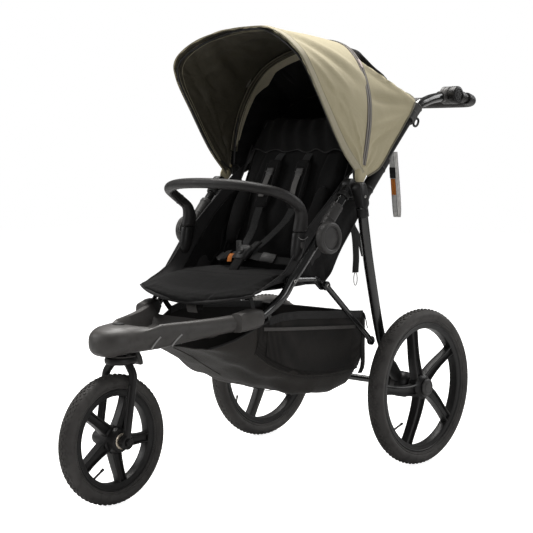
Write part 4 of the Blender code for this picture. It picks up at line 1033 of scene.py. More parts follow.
def handle_parts():
    y, z = HANDLE
    for side, word in SIDES:
        middle = Vector((side * 0.196, 0.4600, 0.8985))
        sleeve = [tube([middle - PUSH_WAY * 0.024, middle + PUSH_WAY * 0.026], 0.0170, 28)]
        for h in (-0.0235, 0.0000, 0.0255):
            sleeve.append(lathe([(0.0160, -0.0014), (0.0172, -0.0014), (0.0179, 0.0), (0.0172, 0.0014),
                                 (0.0160, 0.0014)],
                                middle + PUSH_WAY * h, PUSH_WAY, 36, True))
        piece(joined(sleeve), f"trigger_sleeve_ringed_{word}", "grey_plastic", "pusher",
              f"trigger_sleeve_{word}", 35)
        centre = middle + PUSH_UNDER * 0.0298
        ring = [centre + PUSH_WAY * (0.0120 * math.cos(a)) + PUSH_UNDER * (0.0085 * math.sin(a))
                for a in [2 * math.pi * k / 40 for k in range(40)]]
        loop = swept(ring, ellipse(0.0030, 0.0030, 16), (1, 0, 0), True)
        piece(loop, f"fold_trigger_loop_{word}", "plastic", f"trigger_{word}", f"fold_trigger_{word}")
        shell = [(0, 0.0130), (0.0195, 0.0130), (0.0222, 0.0118), (0.0235, 0.0095), (0.0235, 0.0020),
                 (0.0226, 0.0012),
                 (0.0226, -0.0004), (0.0235, -0.0012), (0.0235, -0.0100), (0.0215, -0.0125),
                 (0.0105, -0.0130), (0.0102, -0.0100), (0, -0.0100)]
        joint = [lathe(shell, (side * 0.1960, y, z), (side, 0, 0), 56)]
        joint.append(tube([Vector((side * 0.196, 0.586, 0.9452)), Vector((side * 0.196, 0.603, 0.9476))],
                          0.0155, 28))
        piece(joined(joint), f"handle_joint_shaped_{word}", "grey_plastic", "pusher",
              f"handle_joint_{word}", 35)
        tip = [(0, 0.0050), (0.0040, 0.0048), (0.0078, 0.0040), (0.0091, 0.0026), (0.0092, -0.0060),
               (0, -0.0060)]
        piece(lathe(tip, (side * 0.1840, y, z), (-side, 0, 0), 36), f"tilt_button_domed_{word}", "platform",
              f"tilt_button_{word}",
              f"tilt_button_{word}")
    half = [(0.2214, y + 0.004, z), (0.2214, 0.7200, 0.9360)]
    path = rounded_path(half + [(-q[0], q[1], q[2]) for q in reversed(half)], 0.050, 14)
    bar = [tube(path, 0.0115, 24)]
    for side, word in SIDES:
        disc = [(0, 0.0118), (0.0100, 0.0118), (0.0112, 0.0108), (0.0160, 0.0108), (0.0172, 0.0118),
                (0.0205, 0.0116),
                (0.0232, 0.0096), (0.0240, 0.0066), (0.0240, -0.0090), (0.0225, -0.0118), (0, -0.0118)]
        bar.append(lathe(disc, (side * 0.2214, y, z), (side, 0, 0), 56))
        bar.append(tube([(side * 0.2214, 0.6380, 0.9483), (side * 0.2214, 0.6560, 0.9455)], 0.0150, 28))
    piece(joined(bar), "handlebar_round", "plastic", "handle", "handlebar", 35)
    grip_path = path[1:-1]
    piece(tube(grip_path, 0.0152, 32), "handle_grip_sleeve", "leather", "handle", "handle_grip")
    for side, word in SIDES:
        end = grip_path[0] if side > 0 else grip_path[-1]
        near = grip_path[1] if side > 0 else grip_path[-2]
        way = (near - end).normalized()
        cuff = lathe([(0.0120, -0.0030), (0.0154, -0.0030), (0.0160, -0.0010), (0.0160, 0.0030),
                      (0.0150, 0.0044)], end, way, 40, True)
        piece(cuff, f"grip_cuff_{word}", "plastic", "handle")
    stitched("grip_stitch", grip_path, 0.0150, (0, -0.35, -1), "handle", 0.0075)


def stitched(name, path, radius, way, body, pitch):
    """A row of short thread stitches along a tube, on the side that way points to."""
    stations = frames(path)
    bm = bmesh.new()
    travelled, wanted = 0.0, pitch
    for (p, _, _), (q, _, _) in zip(stations, stations[1:]):
        step = (q - p).length
        while travelled + step >= wanted:
            t = (wanted - travelled) / step
            along = (q - p).normalized()
            out = Vector(way) - along * Vector(way).dot(along)
            out.normalize()
            side = along.cross(out)
            middle = p.lerp(q, t) + out * radius
            ends = [middle - along * 0.0024 - side * 0.0012, middle + along * 0.0024 + side * 0.0012]
            ring = ellipse(0.0005, 0.0005, 6)
            rows = []
            for e, lift in ((ends[0], -0.0004), (middle, 0.0005), (ends[1], -0.0004)):
                rows.append([bm.verts.new(e + out * (lift + w) + side * u) for u, w in ring])
            for a, b in zip(rows, rows[1:]):
                for i in range(6):
                    bm.faces.new((a[i], a[(i + 1) % 6], b[(i + 1) % 6], b[i]))
            for row in (rows[0], rows[-1]):
                bm.faces.new(row)
            wanted += pitch
        travelled += step
    piece(made(bm), name, "thread", body)


platform()
frame_parts()
handle_parts()


# ---------------------------------------------------------------- cloth shapes
def cloth(rows, thick, middle, outside, inside=None, gather=None):
    """A fabric skin from rows of points on its outer face, with its inner face towards middle."""
    grid = [[Vector(p) for p in row] for row in rows]
    n, m = len(grid), len(grid[0])
    normals = []
    for i in range(n):
        line = []
        for j in range(m):
            du = grid[min(i + 1, n - 1)][j] - grid[max(i - 1, 0)][j]
            dv = grid[i][min(j + 1, m - 1)] - grid[i][max(j - 1, 0)]
            line.append(du.cross(dv).normalized())
        normals.append(line)
    facing = sum(normals[i][j].dot(Vector(middle) - grid[i][j]) for i in range(n) for j in range(m))
    sign = 1 if facing > 0 else -1
    bm = bmesh.new()
    outer = [[bm.verts.new(p) for p in row] for row in grid]
    inner = []
    for i in range(n):
        extra = [gather(i, j) if gather else 0.0 for j in range(m)]
        inner.append([bm.verts.new(grid[i][j] + normals[i][j] * sign * (thick + extra[j]))
                      for j in range(m)])
    for i in range(n - 1):
        for j in range(m - 1):
            bm.faces.new((outer[i][j], outer[i][j + 1], outer[i + 1][j + 1], outer[i + 1][j]))
            face = bm.faces.new((inner[i][j], inner[i + 1][j], inner[i + 1][j + 1], inner[i][j + 1]))
            face.material_index = 1 if inside else 0
    edge = [(0, j) for j in range(m)] + [(i, m - 1) for i in range(1, n)]
    edge += [(n - 1, j) for j in range(m - 2, -1, -1)] + [(i, 0) for i in range(n - 2, 0, -1)]
    for (a, b), (c, d) in zip(edge, edge[1:] + edge[:1]):
        bm.faces.new((outer[a][b], inner[a][b], inner[c][d], outer[c][d]))
    ob = made(bm)
    ob.data.materials.append(MAT[outside])
    if inside:
        ob.data.materials.append(MAT[inside])
    return ob


def along_rows(curve_a, curve_b, count, lift, centre, fold=None):
    """Rows between two curves, lifted in the middle rows, with fold(s, t) pushed outwards."""
    rows = []
    last = len(curve_a) - 1
    for k in range(count + 1):
        t = k / count
        row = []
        for j, (a, b) in enumerate(zip(curve_a, curve_b)):
            p = Vector(a).lerp(Vector(b), t)
            out = (p - Vector(centre)).normalized()
            push = lift * 4 * t * (1 - t)
            if fold:
                push += fold(j / last, t)
            row.append(p + out * push)
        rows.append(row)
    return rows


def crease(s, t, a, b, width, height):
    """A soft ridge along the line from a to b in the sheet's own coordinates, fading at both ends."""
    ax, ay = a
    dx, dy = b[0] - ax, b[1] - ay
    length = math.hypot(dx, dy)
    u = ((s - ax) * dx + (t - ay) * dy) / length**2
    v = ((s - ax) * dy - (t - ay) * dx) / length
    if u <= 0 or u >= 1:
        return 0.0
    return height * math.sin(math.pi * u) ** 0.6 * math.exp(-((v / width) ** 2))


def spread(rows):
    """The area of a grid of points."""
    total = 0.0
    for a, b in zip(rows, rows[1:]):
        for i in range(len(a) - 1):
            lower = (a[i + 1] - a[i]).cross(b[i] - a[i])
            upper = (b[i] - b[i + 1]).cross(a[i + 1] - b[i + 1])
            total += lower.length / 2 + upper.length / 2
    return total


# ---------------------------------------------------------------- canopy
FRONT_BOW = [
    (0.2250, 0.205, 0.740), (0.2250, 0.140, 0.806), (0.2250, 0.073, 0.903), (0.2240, 0.020, 0.985),
    (0.2060, 0.001, 1.034), (0.1450, 0.012, 1.077), (0.0650, 0.040, 1.1015), (0.0000, 0.053, 1.1065),
]
MID_BOW = [
    (0.2270, 0.221, 0.768), (0.2290, 0.233, 0.829), (0.2265, 0.244, 0.880), (0.2150, 0.256, 0.934),
    (0.1890, 0.269, 0.990), (0.1500, 0.286, 1.036), (0.0830, 0.315, 1.074), (0.0000, 0.332, 1.089),
]
REAR_EDGE = [
    (0.2180, 0.250, 0.7400), (0.2180, 0.300, 0.7620), (0.2180, 0.350, 0.8160), (0.2180, 0.400, 0.8700),
    (0.2120, 0.452, 0.9280), (0.1500, 0.488, 0.9560), (0.0800, 0.500, 0.9620), (0.0000, 0.503, 0.9640),
]
CANOPY_MIDDLE = Vector((0, 0.2, 0.9))


def outward(p):
    v = Vector(p) - CANOPY_MIDDLE
    v.y *= 0.15
    return v.normalized()


def edge_strip(curve, width, thick, shift, lift):
    """Flat tape along a bow, laid on the cloth: shift moves it fore and aft."""
    rows = []
    ring = ellipse(width / 2, thick / 2, 10, 0.35)
    n = len(curve)
    for i, p in enumerate(curve):
        t = (curve[min(i + 1, n - 1)] - curve[max(i - 1, 0)]).normalized()
        out = outward(p)
        across = t.cross(out).normalized()
        if across.y > 0:
            across = -across
        out = across.cross(t).normalized()
        if out.dot(outward(p)) < 0:
            out = -out
        base = p + across * shift + out * lift
        rows.append([base + across * u + out * w for u, w in ring])
    return lofted(rows, True, True)


def front_fold(s, t):
    h = 0.0
    for side in (0, 1):
        q = 1 - s if side else s
        h += crease(q, t, (0.43, -0.10), (0.26, 1.06), 0.022, 0.0075)
        h += crease(q, t, (0.36, 0.00), (0.20, 0.70), 0.012, 0.0050)
        h -= crease(q, t, (0.39, 0.00), (0.24, 0.85), 0.013, 0.0050)
        h += crease(q, t, (0.30, 0.06), (0.13, 0.52), 0.013, 0.0042)
        h -= crease(q, t, (0.20, 0.20), (0.17, 0.52), 0.010, 0.0045)
        h += crease(q, t, (0.14, 0.15), (0.02, 0.60), 0.011, 0.0042)
        h += crease(q, t, (0.16, 0.55), (0.02, 0.75), 0.012, 0.0036)
    h += 0.0011 * noise.noise(Vector((s * 9, t * 3.5, 2.0))) * math.sin(math.pi * t)
    gathered = max(0.0, 1 - min(s, 1 - s) / 0.10)
    h += 0.0016 * gathered * math.sin(t * 30) * math.sin(math.pi * t)
    return h


def rear_fold(s, t):
    h = 0.0
    for side in (0, 1):
        q = 1 - s if side else s
        h += crease(q, t, (0.34, -0.05), (0.285, 1.05), 0.011, 0.0120)
        h -= crease(q, t, (0.44, 0.05), (0.30, 1.04), 0.014, 0.0105)
        h -= crease(q, t, (0.22, 0.02), (0.275, 1.04), 0.013, 0.0090)
        h += crease(q, t, (0.12, 0.10), (0.24, 0.98), 0.012, 0.0080)
        h -= crease(q, t, (0.06, 0.25), (0.20, 0.90), 0.012, 0.0060)
    h += 0.0014 * noise.noise(Vector((s * 8, t * 3.0, 7.0))) * math.sin(math.pi * t)
    gathered = max(0.0, 1 - min(s, 1 - s) / 0.12)
    h += 0.0020 * gathered * math.sin(t * 26) * math.sin(math.pi * t)
    return h


def canopy():
    front = smooth_path(mirrored(FRONT_BOW), 8)
    middle = smooth_path(mirrored(MID_BOW), 8)
    rear = smooth_path(mirrored(REAR_EDGE), 8)
    last = len(front) - 1

    def gather(i, j):
        s, t = j / last, i / 26
        wave = 0.5 + 0.5 * math.sin(s * 150 + 5 * noise.noise(Vector((s * 14, t * 5, 0))))
        edge = math.exp(-(((t - 0.12) / 0.14) ** 2))
        deep = 0.5 + 0.5 * noise.noise(Vector((s * 26, t * 5, 4.0)))
        drawn = max(0.0, math.sin(s * 74 + 9 * t + 4 * noise.noise(Vector((s * 9, t * 3, 8.0))))) ** 2
        return (0.0042 * wave * edge + 0.0050 * drawn * math.sin(math.pi * t)
                + 0.0110 * deep * math.sin(math.pi * t)) * math.sin(math.pi * s) ** 0.3

    rows = along_rows(front, middle, 26, 0.004, CANOPY_MIDDLE, front_fold)
    area = spread(rows)
    rows[-1] = [p.lerp(q, 0.05) for p, q in zip(rows[-1], rows[-2])]
    panel = piece(cloth(rows, 0.0018, CANOPY_MIDDLE, "khaki", "khaki_inside", gather), "canopy_front_cloth",
                  "khaki", None,
                  "canopy_front_panel", 50)
    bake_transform(panel)
    rows = along_rows(middle, rear, 26, -0.002, CANOPY_MIDDLE, rear_fold)
    area = spread(rows)
    rows[0] = [p.lerp(q, 0.06) for p, q in zip(rows[0], rows[1])]
    panel = piece(cloth(rows, 0.0018, CANOPY_MIDDLE, "khaki", "black_cloth"), "canopy_rear_cloth", "khaki",
                  None,
                  "canopy_rear_panel", 50)
    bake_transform(panel)

    # front edge: a stitched band with dark piping at its rim
    piece(edge_strip(front, 0.0190, 0.0016, -0.0096, 0.0006), "canopy_front_band", "khaki_light",
          "canopy_front")
    rim = [p + Vector((0, 0.0002, 0)) for p in front]
    piece(tube(rim, 0.0014, 12), "canopy_front_piping", "khaki_piping", "canopy_front")
    for k, shift in enumerate((-0.0020, -0.0180)):
        piece(edge_strip(front, 0.0007, 0.0007, shift, 0.0013), f"canopy_band_seam_{k + 1}", "khaki_piping",
              "canopy_front")
    # inside the front edge: two stitched lines and the gathers between them, whose dark colour is painted
    # shade in the folds
    inner = [p - outward(p) * 0.0034 for p in front]
    for k, t in enumerate((0.035, 0.085)):
        line = [(p.lerp(q, t) - outward(p) * 0.0046) for p, q in zip(inner, middle)]
        piece(tube(line[4:-4], 0.0009, 8), f"canopy_lining_seam_{k + 1}", "khaki_piping", "canopy_front")
    tucks = []
    for j in range(10, last - 9):
        for half in (0.0, 0.5):
            a = front[j].lerp(front[j + 1], half)
            b = middle[j].lerp(middle[j + 1], half)
            high = 0.0008 + 0.0012 * (0.5 + 0.5 * noise.noise(Vector((j * 0.7 + half, 0, 0))))
            ends = [a.lerp(b, t) - outward(a) * (0.0042 + lift) for t,
                    lift in ((0.040, 0.0), (0.058, high), (0.080, 0.0))]
            tucks.append(tube(ends, 0.0013, 6))
    piece(joined(tucks), "canopy_lining_gathers", "lining_painted_shade", "canopy_front")

    # middle bow: zip outside, its covered channel inside
    for k, shift in enumerate((0.0044, -0.0044)):
        piece(edge_strip(middle, 0.0066, 0.0014, shift, 0.0012), f"canopy_zip_tape_{k + 1}", "zip",
              "canopy_middle")
        piece(edge_strip(middle, 0.0009, 0.0014, shift * 1.9, 0.0012), f"canopy_zip_seam_{k + 1}",
              "zip_dark", "canopy_middle")
    piece(edge_strip(middle, 0.0022, 0.0026, 0.0, 0.0015), "canopy_zip_coil", "zip_dark", "canopy_middle")
    at = 38
    p = middle[at]
    along = (middle[at - 3] - p).normalized()
    out = outward(p)
    across = along.cross(out).normalized()
    tab = []
    for h, w in ((-0.004, 0.0032), (0.0, 0.0045), (0.006, 0.0045), (0.010, 0.0030), (0.022, 0.0034),
                 (0.0245, 0.0020)):
        tab.append([p + along * h + out * 0.0034 + across * u + out * v for u,
                    v in ellipse(w, 0.0014, 12, 0.6)])
    piece(lofted(tab, True, True), "canopy_zip_pull", "zip_pull", "canopy_middle")
    channel = [p - outward(p) * 0.0090 for p in middle]
    for p in channel[:3] + channel[-3:]:
        p.x *= 0.985
    piece(edge_strip(channel[4:-4], 0.0200, 0.0050, 0.0, 0.0), "canopy_bow_channel", "khaki_inside",
          "canopy_middle")
    for k, shift in enumerate((0.0100, 0.0, -0.0100)):
        piece(edge_strip(channel[4:-4], 0.0022, 0.0022, shift, -0.0024), f"canopy_channel_piping_{k + 1}",
              "khaki_edge",
              "canopy_middle")
    lap = []
    for t in (0.0, 0.25, 0.5, 0.75, 1.0):
        row = []
        for j, (a, b) in enumerate(zip(middle, rear)):
            s = abs(j / last - 0.5)
            reach = 0.0 if s > 0.46 else 0.050 + 0.045 * max(0.0, 1 - abs(s - 0.20) / 0.05)
            reach *= min(1.0, (0.46 - s) / 0.05) if s < 0.46 else 0.0
            row.append(a.lerp(b, 0.05 + reach * 2.2 * t) - outward(a) * 0.0105)
        lap.append(row[6:-6])
    sheet = piece(cloth(lap, 0.0012, CANOPY_MIDDLE, "khaki_light"), "canopy_lining_lap", "khaki_light",
                  "canopy_middle")
    spread(lap)

    # rear edge binding and the rolled window flap on top
    piece(tube(rear, 0.0024, 12), "canopy_rear_binding", "khaki_edge", "pusher")
    half = [(0.1500, 0.4130, 0.9800), (0.1500, 0.3850, 0.9955), (0.1490, 0.3500, 1.0125),
            (0.1400, 0.3250, 1.0345),
            (0.1150, 0.3330, 1.0500), (0.0700, 0.3560, 1.0600), (0.0, 0.3680, 1.0700)]
    path = smooth_path(mirrored(half), 8)

    def roll(t):
        end = min(1.0, min(t, 1 - t) / 0.03) ** 0.5
        fat = 0.0068 + 0.0008 * noise.noise(Vector((t * 18, 0, 1)))
        return [(u * fat * (0.25 + 0.75 * end), w * fat * (0.25 + 0.75 * end)) for u,
                w in ellipse(1.25, 0.85, 18, 0.9)]

    piece(swept(path, roll), "canopy_rolled_flap", "black_cloth", "canopy_middle")
    seams = []
    for angle in (0.4, 2.3, 4.1):
        line = [q + n * (0.0060 * math.sin(angle)) + w * (0.0085 * math.cos(angle)) for q, w,
                n in frames(path)]
        seams.append(tube(line[6:-6], 0.0008, 6))
    piece(joined(seams), "canopy_flap_seams", "black_edge", "canopy_middle")
    # tips of the cloth where it is gathered on the hinge
    for side, word in SIDES:
        tip = [(0.2300, 0.2140, 0.7560), (0.2340, 0.2060, 0.7400), (0.2360, 0.1990, 0.7240)]
        rows = []
        for (x, y, z), r in zip(tip, (0.0170, 0.0150, 0.0095)):
            rows.append([Vector((side * (x + 0.0016 * math.cos(3 * a) - 0.004 + 0.003 * math.sin(a)),
                                 y + r * math.cos(a) * 1.35,
                                 z + r * math.sin(a) * 0.7))
                         for a in [2 * math.pi * k / 24 for k in range(24)]])
        piece(lofted(rows, True, True), f"canopy_tip_{word}", "khaki", "canopy_middle")
    repaint("canopy_front_bow", "plastic")
    repaint("canopy_mid_bow", "plastic")


canopy()


# ---------------------------------------------------------------- padding
def puffed(ob, pressure, cap, voxel=0.005, held=None):
    """The pad swollen a little by a cloth simulation. Points where held(p) is true stay put."""
    if ob.modifiers:
        ob = joined([ob])
    scene = bpy.context.scene
    scene.collection.objects.link(ob)
    step = ob.modifiers.new("voxels", "REMESH")
    step.mode, step.voxel_size = "VOXEL", voxel
    bpy.context.view_layer.update()
    mesh = bpy.data.meshes.new_from_object(ob.evaluated_get(bpy.context.evaluated_depsgraph_get()))
    bpy.data.objects.remove(ob, do_unlink=True)
    pad = bpy.data.objects.new("pad", mesh)
    scene.collection.objects.link(pad)
    start = [v.co.copy() for v in mesh.vertices]
    step = pad.modifiers.new("cloth", "CLOTH")
    step.settings.use_pressure = True
    step.settings.uniform_pressure_force = pressure
    step.settings.tension_stiffness = step.settings.compression_stiffness = 12
    step.settings.bending_stiffness = 0.6
    step.settings.effector_weights.gravity = 0
    step.point_cache.frame_start, step.point_cache.frame_end = 1, 20
    if held:
        group = pad.vertex_groups.new(name="held")
        group.add([i for i, p in enumerate(start) if held(p)], 1.0, "REPLACE")
        step.settings.vertex_group_mass = "held"
    for f in range(1, 21):
        scene.frame_set(f)
    done = bpy.data.meshes.new_from_object(pad.evaluated_get(bpy.context.evaluated_depsgraph_get()))
    for v, p in zip(done.vertices, start):
        shift = v.co - p
        if shift.length > cap:
            v.co = p + shift * (cap / shift.length)
    bpy.data.objects.remove(pad, do_unlink=True)
    scene.frame_set(1)
    return subdivided(bpy.data.objects.new("pad", done), 1)


def dented(ob, shape):
    """Presses seams and folds into a pad: shape(p) gives how far the point moves along its normal."""
    if ob.modifiers:
        ob = joined([ob])
    normals = [v.normal.copy() for v in ob.data.vertices]
    for v, n in zip(ob.data.vertices, normals):
        v.co += n * shape(v.co)
    return ob


# ---------------------------------------------------------------- seat
RECLINE = Vector((0, 0.112, 0.522))
BACK_TOP = Vector((0, 0.285, 0.900))
ALONG = (BACK_TOP - RECLINE).normalized()
REAR = Vector((0, ALONG.z, -ALONG.y))
BACK_LENGTH = (BACK_TOP - RECLINE).length


def on_back(t, x, off):
    """A point on the backrest: t of its length up, x to the left, off towards the front."""
    return RECLINE + ALONG * (t * BACK_LENGTH) - REAR * off + LEFT * x


def seat_front():
    """The padded tongue that hangs over the seat's front, with its pointed corners."""
    rows = []
    for y, w, z, thick in (
        (-0.1620, 0.130, 0.4560, 0.0060), (-0.1540, 0.170, 0.4580, 0.0075),
        (-0.1420, 0.188, 0.4620, 0.0088),
        (-0.1270, 0.193, 0.4670, 0.0096), (-0.1100, 0.191, 0.4720, 0.0105),
        (-0.0900, 0.185, 0.4780, 0.0115),
        (-0.0650, 0.176, 0.4850, 0.0120), (-0.0400, 0.168, 0.4905, 0.0120),
        (-0.0150, 0.160, 0.4940, 0.0115),
        (0.0200, 0.158, 0.4960, 0.0110), (0.0600, 0.157, 0.4975, 0.0110), (0.0840, 0.152, 0.4985, 0.0080),
    ):
        ring = []
        for u, v in ellipse(1.0, 1.0, 56, 0.55):
            near = min(1.0, max(0.0, (-0.060 - y) / 0.070))
            droop = near * (0.0100 - 0.0240 * abs(u) ** 1.8) - (1 - near) * 0.004 * abs(u) ** 3
            ring.append(Vector((u * w, y + 0.012 * (1 - u * u) * (-1 if y < -0.14 else 0),
                                z + v * thick * (1 - 0.45 * abs(u) ** 4) - droop)))
        rows.append(ring)
    pad = puffed(lofted(rows, True, True), 1.2, 0.005)

    def shape(p):
        h = -0.0016 * math.exp(-(((p.y + 0.048 - 0.10 * p.x * p.x) / 0.003) ** 2))
        h += 0.0012 * noise.noise(Vector((p.x * 16, p.y * 16, 3)))
        side = abs(p.x)
        creased = max(0.0, 1 - abs(p.y + 0.035) / 0.03) * max(0.0, 1 - abs(side - 0.14) / 0.05)
        h += 0.0016 * math.sin(p.y * 240) * creased
        return h

    piece(dented(pad, shape), "seat_front_pad", "black_cloth", "frame", "seat_pad", 60)
    hem = []
    for u in [k / 48 * 2 - 1 for k in range(49)]:
        hem.append(Vector((u * 0.1930, -0.1660 + 0.0300 * abs(u) ** 3.2, 0.4440 + 0.0270 * abs(u) ** 1.8)))
    piece(tube(hem, lambda t: 0.0048 - 0.0022 * abs(2 * t - 1) ** 6, 14), "seat_front_binding",
          "black_edge", "frame")
    piece(tube([p + Vector((0, 0.0095, 0.0068)) for p in hem[3:-3]], 0.0008, 8), "seat_front_stitching",
          "thread_dark", "frame")
    tongue = [(0, -0.150, 0.4550), (0, -0.150, 0.4300), (0, -0.146, 0.4180)]
    piece(strap([Vector((0.0, y, z)) for _, y, z in tongue], 0.034, 0.0022, wide_way=LEFT),
          "strap_tongue_pale", "grey_webbing", "frame")
    piece(strap([Vector((0.022, y + 0.004, z - 0.003)) for _, y, z in tongue[:2]], 0.026, 0.0026,
                wide_way=LEFT),
          "strap_tongue_dark", "webbing", "frame")


def wing_rows(side):
    low = [(0.150, -0.132, 0.464), (0.156, -0.105, 0.471), (0.160, -0.080, 0.478), (0.166, -0.040, 0.486),
           (0.169, 0.000, 0.492),
           (0.172, 0.045, 0.500), (0.173, 0.085, 0.506), (0.174, 0.125, 0.545), (0.175, 0.155, 0.615),
           (0.175, 0.190, 0.690),
           (0.174, 0.222, 0.760), (0.172, 0.250, 0.820)]
    high = [(0.1890, -0.136, 0.4730), (0.1905, -0.111, 0.4820), (0.1915, -0.080, 0.4950),
            (0.1935, -0.045, 0.5120), (0.1965, -0.010, 0.5350),
            (0.1990, 0.025, 0.5640), (0.1990, 0.061, 0.5990), (0.1990, 0.098, 0.6310),
            (0.1990, 0.136, 0.6610), (0.1990, 0.200, 0.7150),
            (0.1980, 0.252, 0.7550), (0.1960, 0.294, 0.7830)]
    low, high = smooth_path(low, 6), smooth_path(high, 6)
    last = len(low) - 1
    rows = []
    for k in range(17):
        t = k / 16
        row = []
        for j, (a, b) in enumerate(zip(low, high)):
            s = j / last
            p = a.lerp(b, t)
            sag = 0.010 * math.sin(math.pi * t)
            sag += 0.0035 * math.sin(s * 30 + 3 * t) * math.sin(math.pi * t) * (0.5 + 0.5 * s)
            sag += 0.0030 * noise.noise(Vector((s * 9, t * 3, side)))
            rise = 0.019 * t * min(1.0, max(0.0, (s - 0.30) * 5)) * min(1.0, (1 - s) * 4 + 0.3)
            row.append(Vector((side * (p.x - 0.3 * sag - 0.35 * rise), p.y + 0.3 * sag - 0.70 * rise,
                               p.z - 0.5 * sag + 0.72 * rise)))
        rows.append(row)
    return rows


def seat_wings():
    for side, word in SIDES:
        rows = wing_rows(side)
        area = spread(rows)
        # the wings take the lighter copy of the black cloth: painted light on the wings
        wing = piece(cloth(rows, 0.0016, (0, 0.10, 0.70), "wing_painted_light_cloth"), f"seat_wing_{word}", "wing_painted_light_cloth",
                     None, angle=60)
        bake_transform(wing)
        edge = rows[-1]
        tape = piece(tube(edge, 0.0024, 10), f"seat_wing_binding_{word}", "black_edge", None)
        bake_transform(tape)


def side_panels():
    """The hammock's outer cloth, seen under the frame tubes, with a gathered lower hem."""
    top = [(-0.018, 0.4960), (0.004, 0.5170), (0.050, 0.5720), (0.100, 0.6280), (0.150, 0.6750),
           (0.212, 0.7080), (0.268, 0.6990)]
    low = [(-0.012, 0.4880), (0.030, 0.4850), (0.080, 0.4825), (0.128, 0.4825), (0.158, 0.5080),
           (0.214, 0.5800), (0.284, 0.6620)]
    for side, word in SIDES:
        a = smooth_path([(0.1790, *q) for q in low], 8)
        b = smooth_path([(0.1790, *q) for q in top], 8)
        last = len(a) - 1
        rows = []
        for k in range(15):
            t = k / 14
            row = []
            for j, (p, q) in enumerate(zip(a, b)):
                s = j / last
                v = p.lerp(q, t)
                push = 0.0035 * math.sin(s * 40 + 4 * t) * (1 - t) ** 1.5 * max(0.0, 1 - s * 1.2)
                push += 0.003 * noise.noise(Vector((s * 7, t * 4, 5)))
                row.append(Vector((side * (v.x + push - 0.0030), v.y, v.z)))
            rows.append(row)
        area = spread(rows)
        panel = piece(cloth(rows, 0.0020, (0, 0.10, 0.60), "black_cloth"), f"seat_outer_panel_{word}",
                      "black_cloth", "frame",
                      f"seat_side_{word}", 60)
        piece(tube(rows[0], 0.0026, 10), f"seat_panel_hem_{word}", "black_edge", "frame")


def back_cushion():
    rows = []
    for t, w, thick, off in (
        (0.015, 0.146, 0.0075, -0.012), (0.050, 0.160, 0.0120, -0.012), (0.120, 0.163, 0.0135, -0.013),
        (0.300, 0.164, 0.0140, -0.013),
        (0.500, 0.165, 0.0140, -0.013), (0.700, 0.162, 0.0140, -0.013), (0.850, 0.155, 0.0135, -0.013),
        (0.940, 0.142, 0.0115, -0.013),
        (0.985, 0.124, 0.0075, -0.013),
    ):
        middle = on_back(t, 0, off)
        rows.append(section(middle, w, thick, LEFT, REAR, 0.5, 56))
    pad = puffed(lofted(rows, True, True), 1.4, 0.006)

    def shape(p):
        t = (p - RECLINE).dot(ALONG) / BACK_LENGTH
        h = 0.0
        for x, deep in ((-0.105, 0.0022), (0.105, 0.0022)):
            h -= deep * math.exp(-(((p.x - x - 0.01 * math.sin(t * 9)) / 0.0035) ** 2))
        h -= 0.0026 * math.exp(-(((t - 0.74 - 0.5 * abs(p.x) * 0.3) / 0.010) ** 2))
        channel = math.sin(p.x * 95 + 2.5 * math.sin(t * 6))
        h += 0.0022 * channel * math.sin(math.pi * min(1, max(0, t * 1.3))) ** 2
        h += 0.0028 * noise.noise(Vector((p.x * 13, t * 3.2, 9)))
        h += 0.0014 * noise.noise(Vector((p.x * 34, t * 9.0, 2)))
        return h

    piece(dented(pad, shape), "backrest_cushion", "black_cloth", "backrest", "backrest", 60)
    for side, word in SIDES:
        line = [on_back(t, side * (0.1660 - 0.030 * max(0.0, t - 0.80) * 3), -0.013)
                for t in [0.04 + 0.92 * k / 30 for k in range(31)]]
        piece(tube(line, 0.0021, 10), f"backrest_piping_{word}", "black_edge", "backrest")
    flap = []
    for k in range(13):
        u = k / 12
        row = []
        for j in range(41):
            x = (j / 40 * 2 - 1) * (0.150 - 0.020 * u)
            t = 0.73 + 0.22 * u + 0.010 * math.sin(j * 0.7) * (1 - u)
            off = 0.0055 + 0.0065 * (1 - u) + 0.0025 * math.sin(j * 0.9 + 4 * u)
            off += 0.010 * (1 - (x / 0.15) ** 2) * math.sin(math.pi * u)
            row.append(on_back(t, x, off))
        flap.append(row)
    area = spread(flap)
    sheet = piece(cloth(flap, 0.0018, on_back(0.8, 0, -0.3), "black_cloth"), "backrest_head_flap",
                  "black_cloth", "backrest", angle=60)
    piece(tube(flap[0], 0.0016, 8), "head_flap_piping", "black_edge", "backrest")
    bolster = []
    for side, word in SIDES:
        rows = []
        for t, x, w, thick in ((0.10, 0.128, 0.012, 0.004), (0.14, 0.130, 0.020, 0.010),
                               (0.28, 0.132, 0.024, 0.013), (0.42, 0.132, 0.022, 0.012),
                               (0.50, 0.130, 0.014, 0.006)):
            rows.append(section(on_back(t, side * x, 0.009 + thick * 0.3), w, thick, LEFT, REAR, 0.8, 28))
        bolster.append(lofted(rows, True, True))
        pad = piece(subdivided(bolster[-1], 1), f"hip_pad_{word}", "black_cloth", "backrest", angle=60)
        line = [on_back(t, side * (x - 0.0205), 0.0120) for t,
                x in ((0.13, 0.131), (0.20, 0.131), (0.28, 0.132), (0.36, 0.132), (0.45, 0.131))]
        piece(tube(smooth_path(line, 6), 0.0013, 8), f"hip_pad_piping_{word}", "black_edge", "backrest")


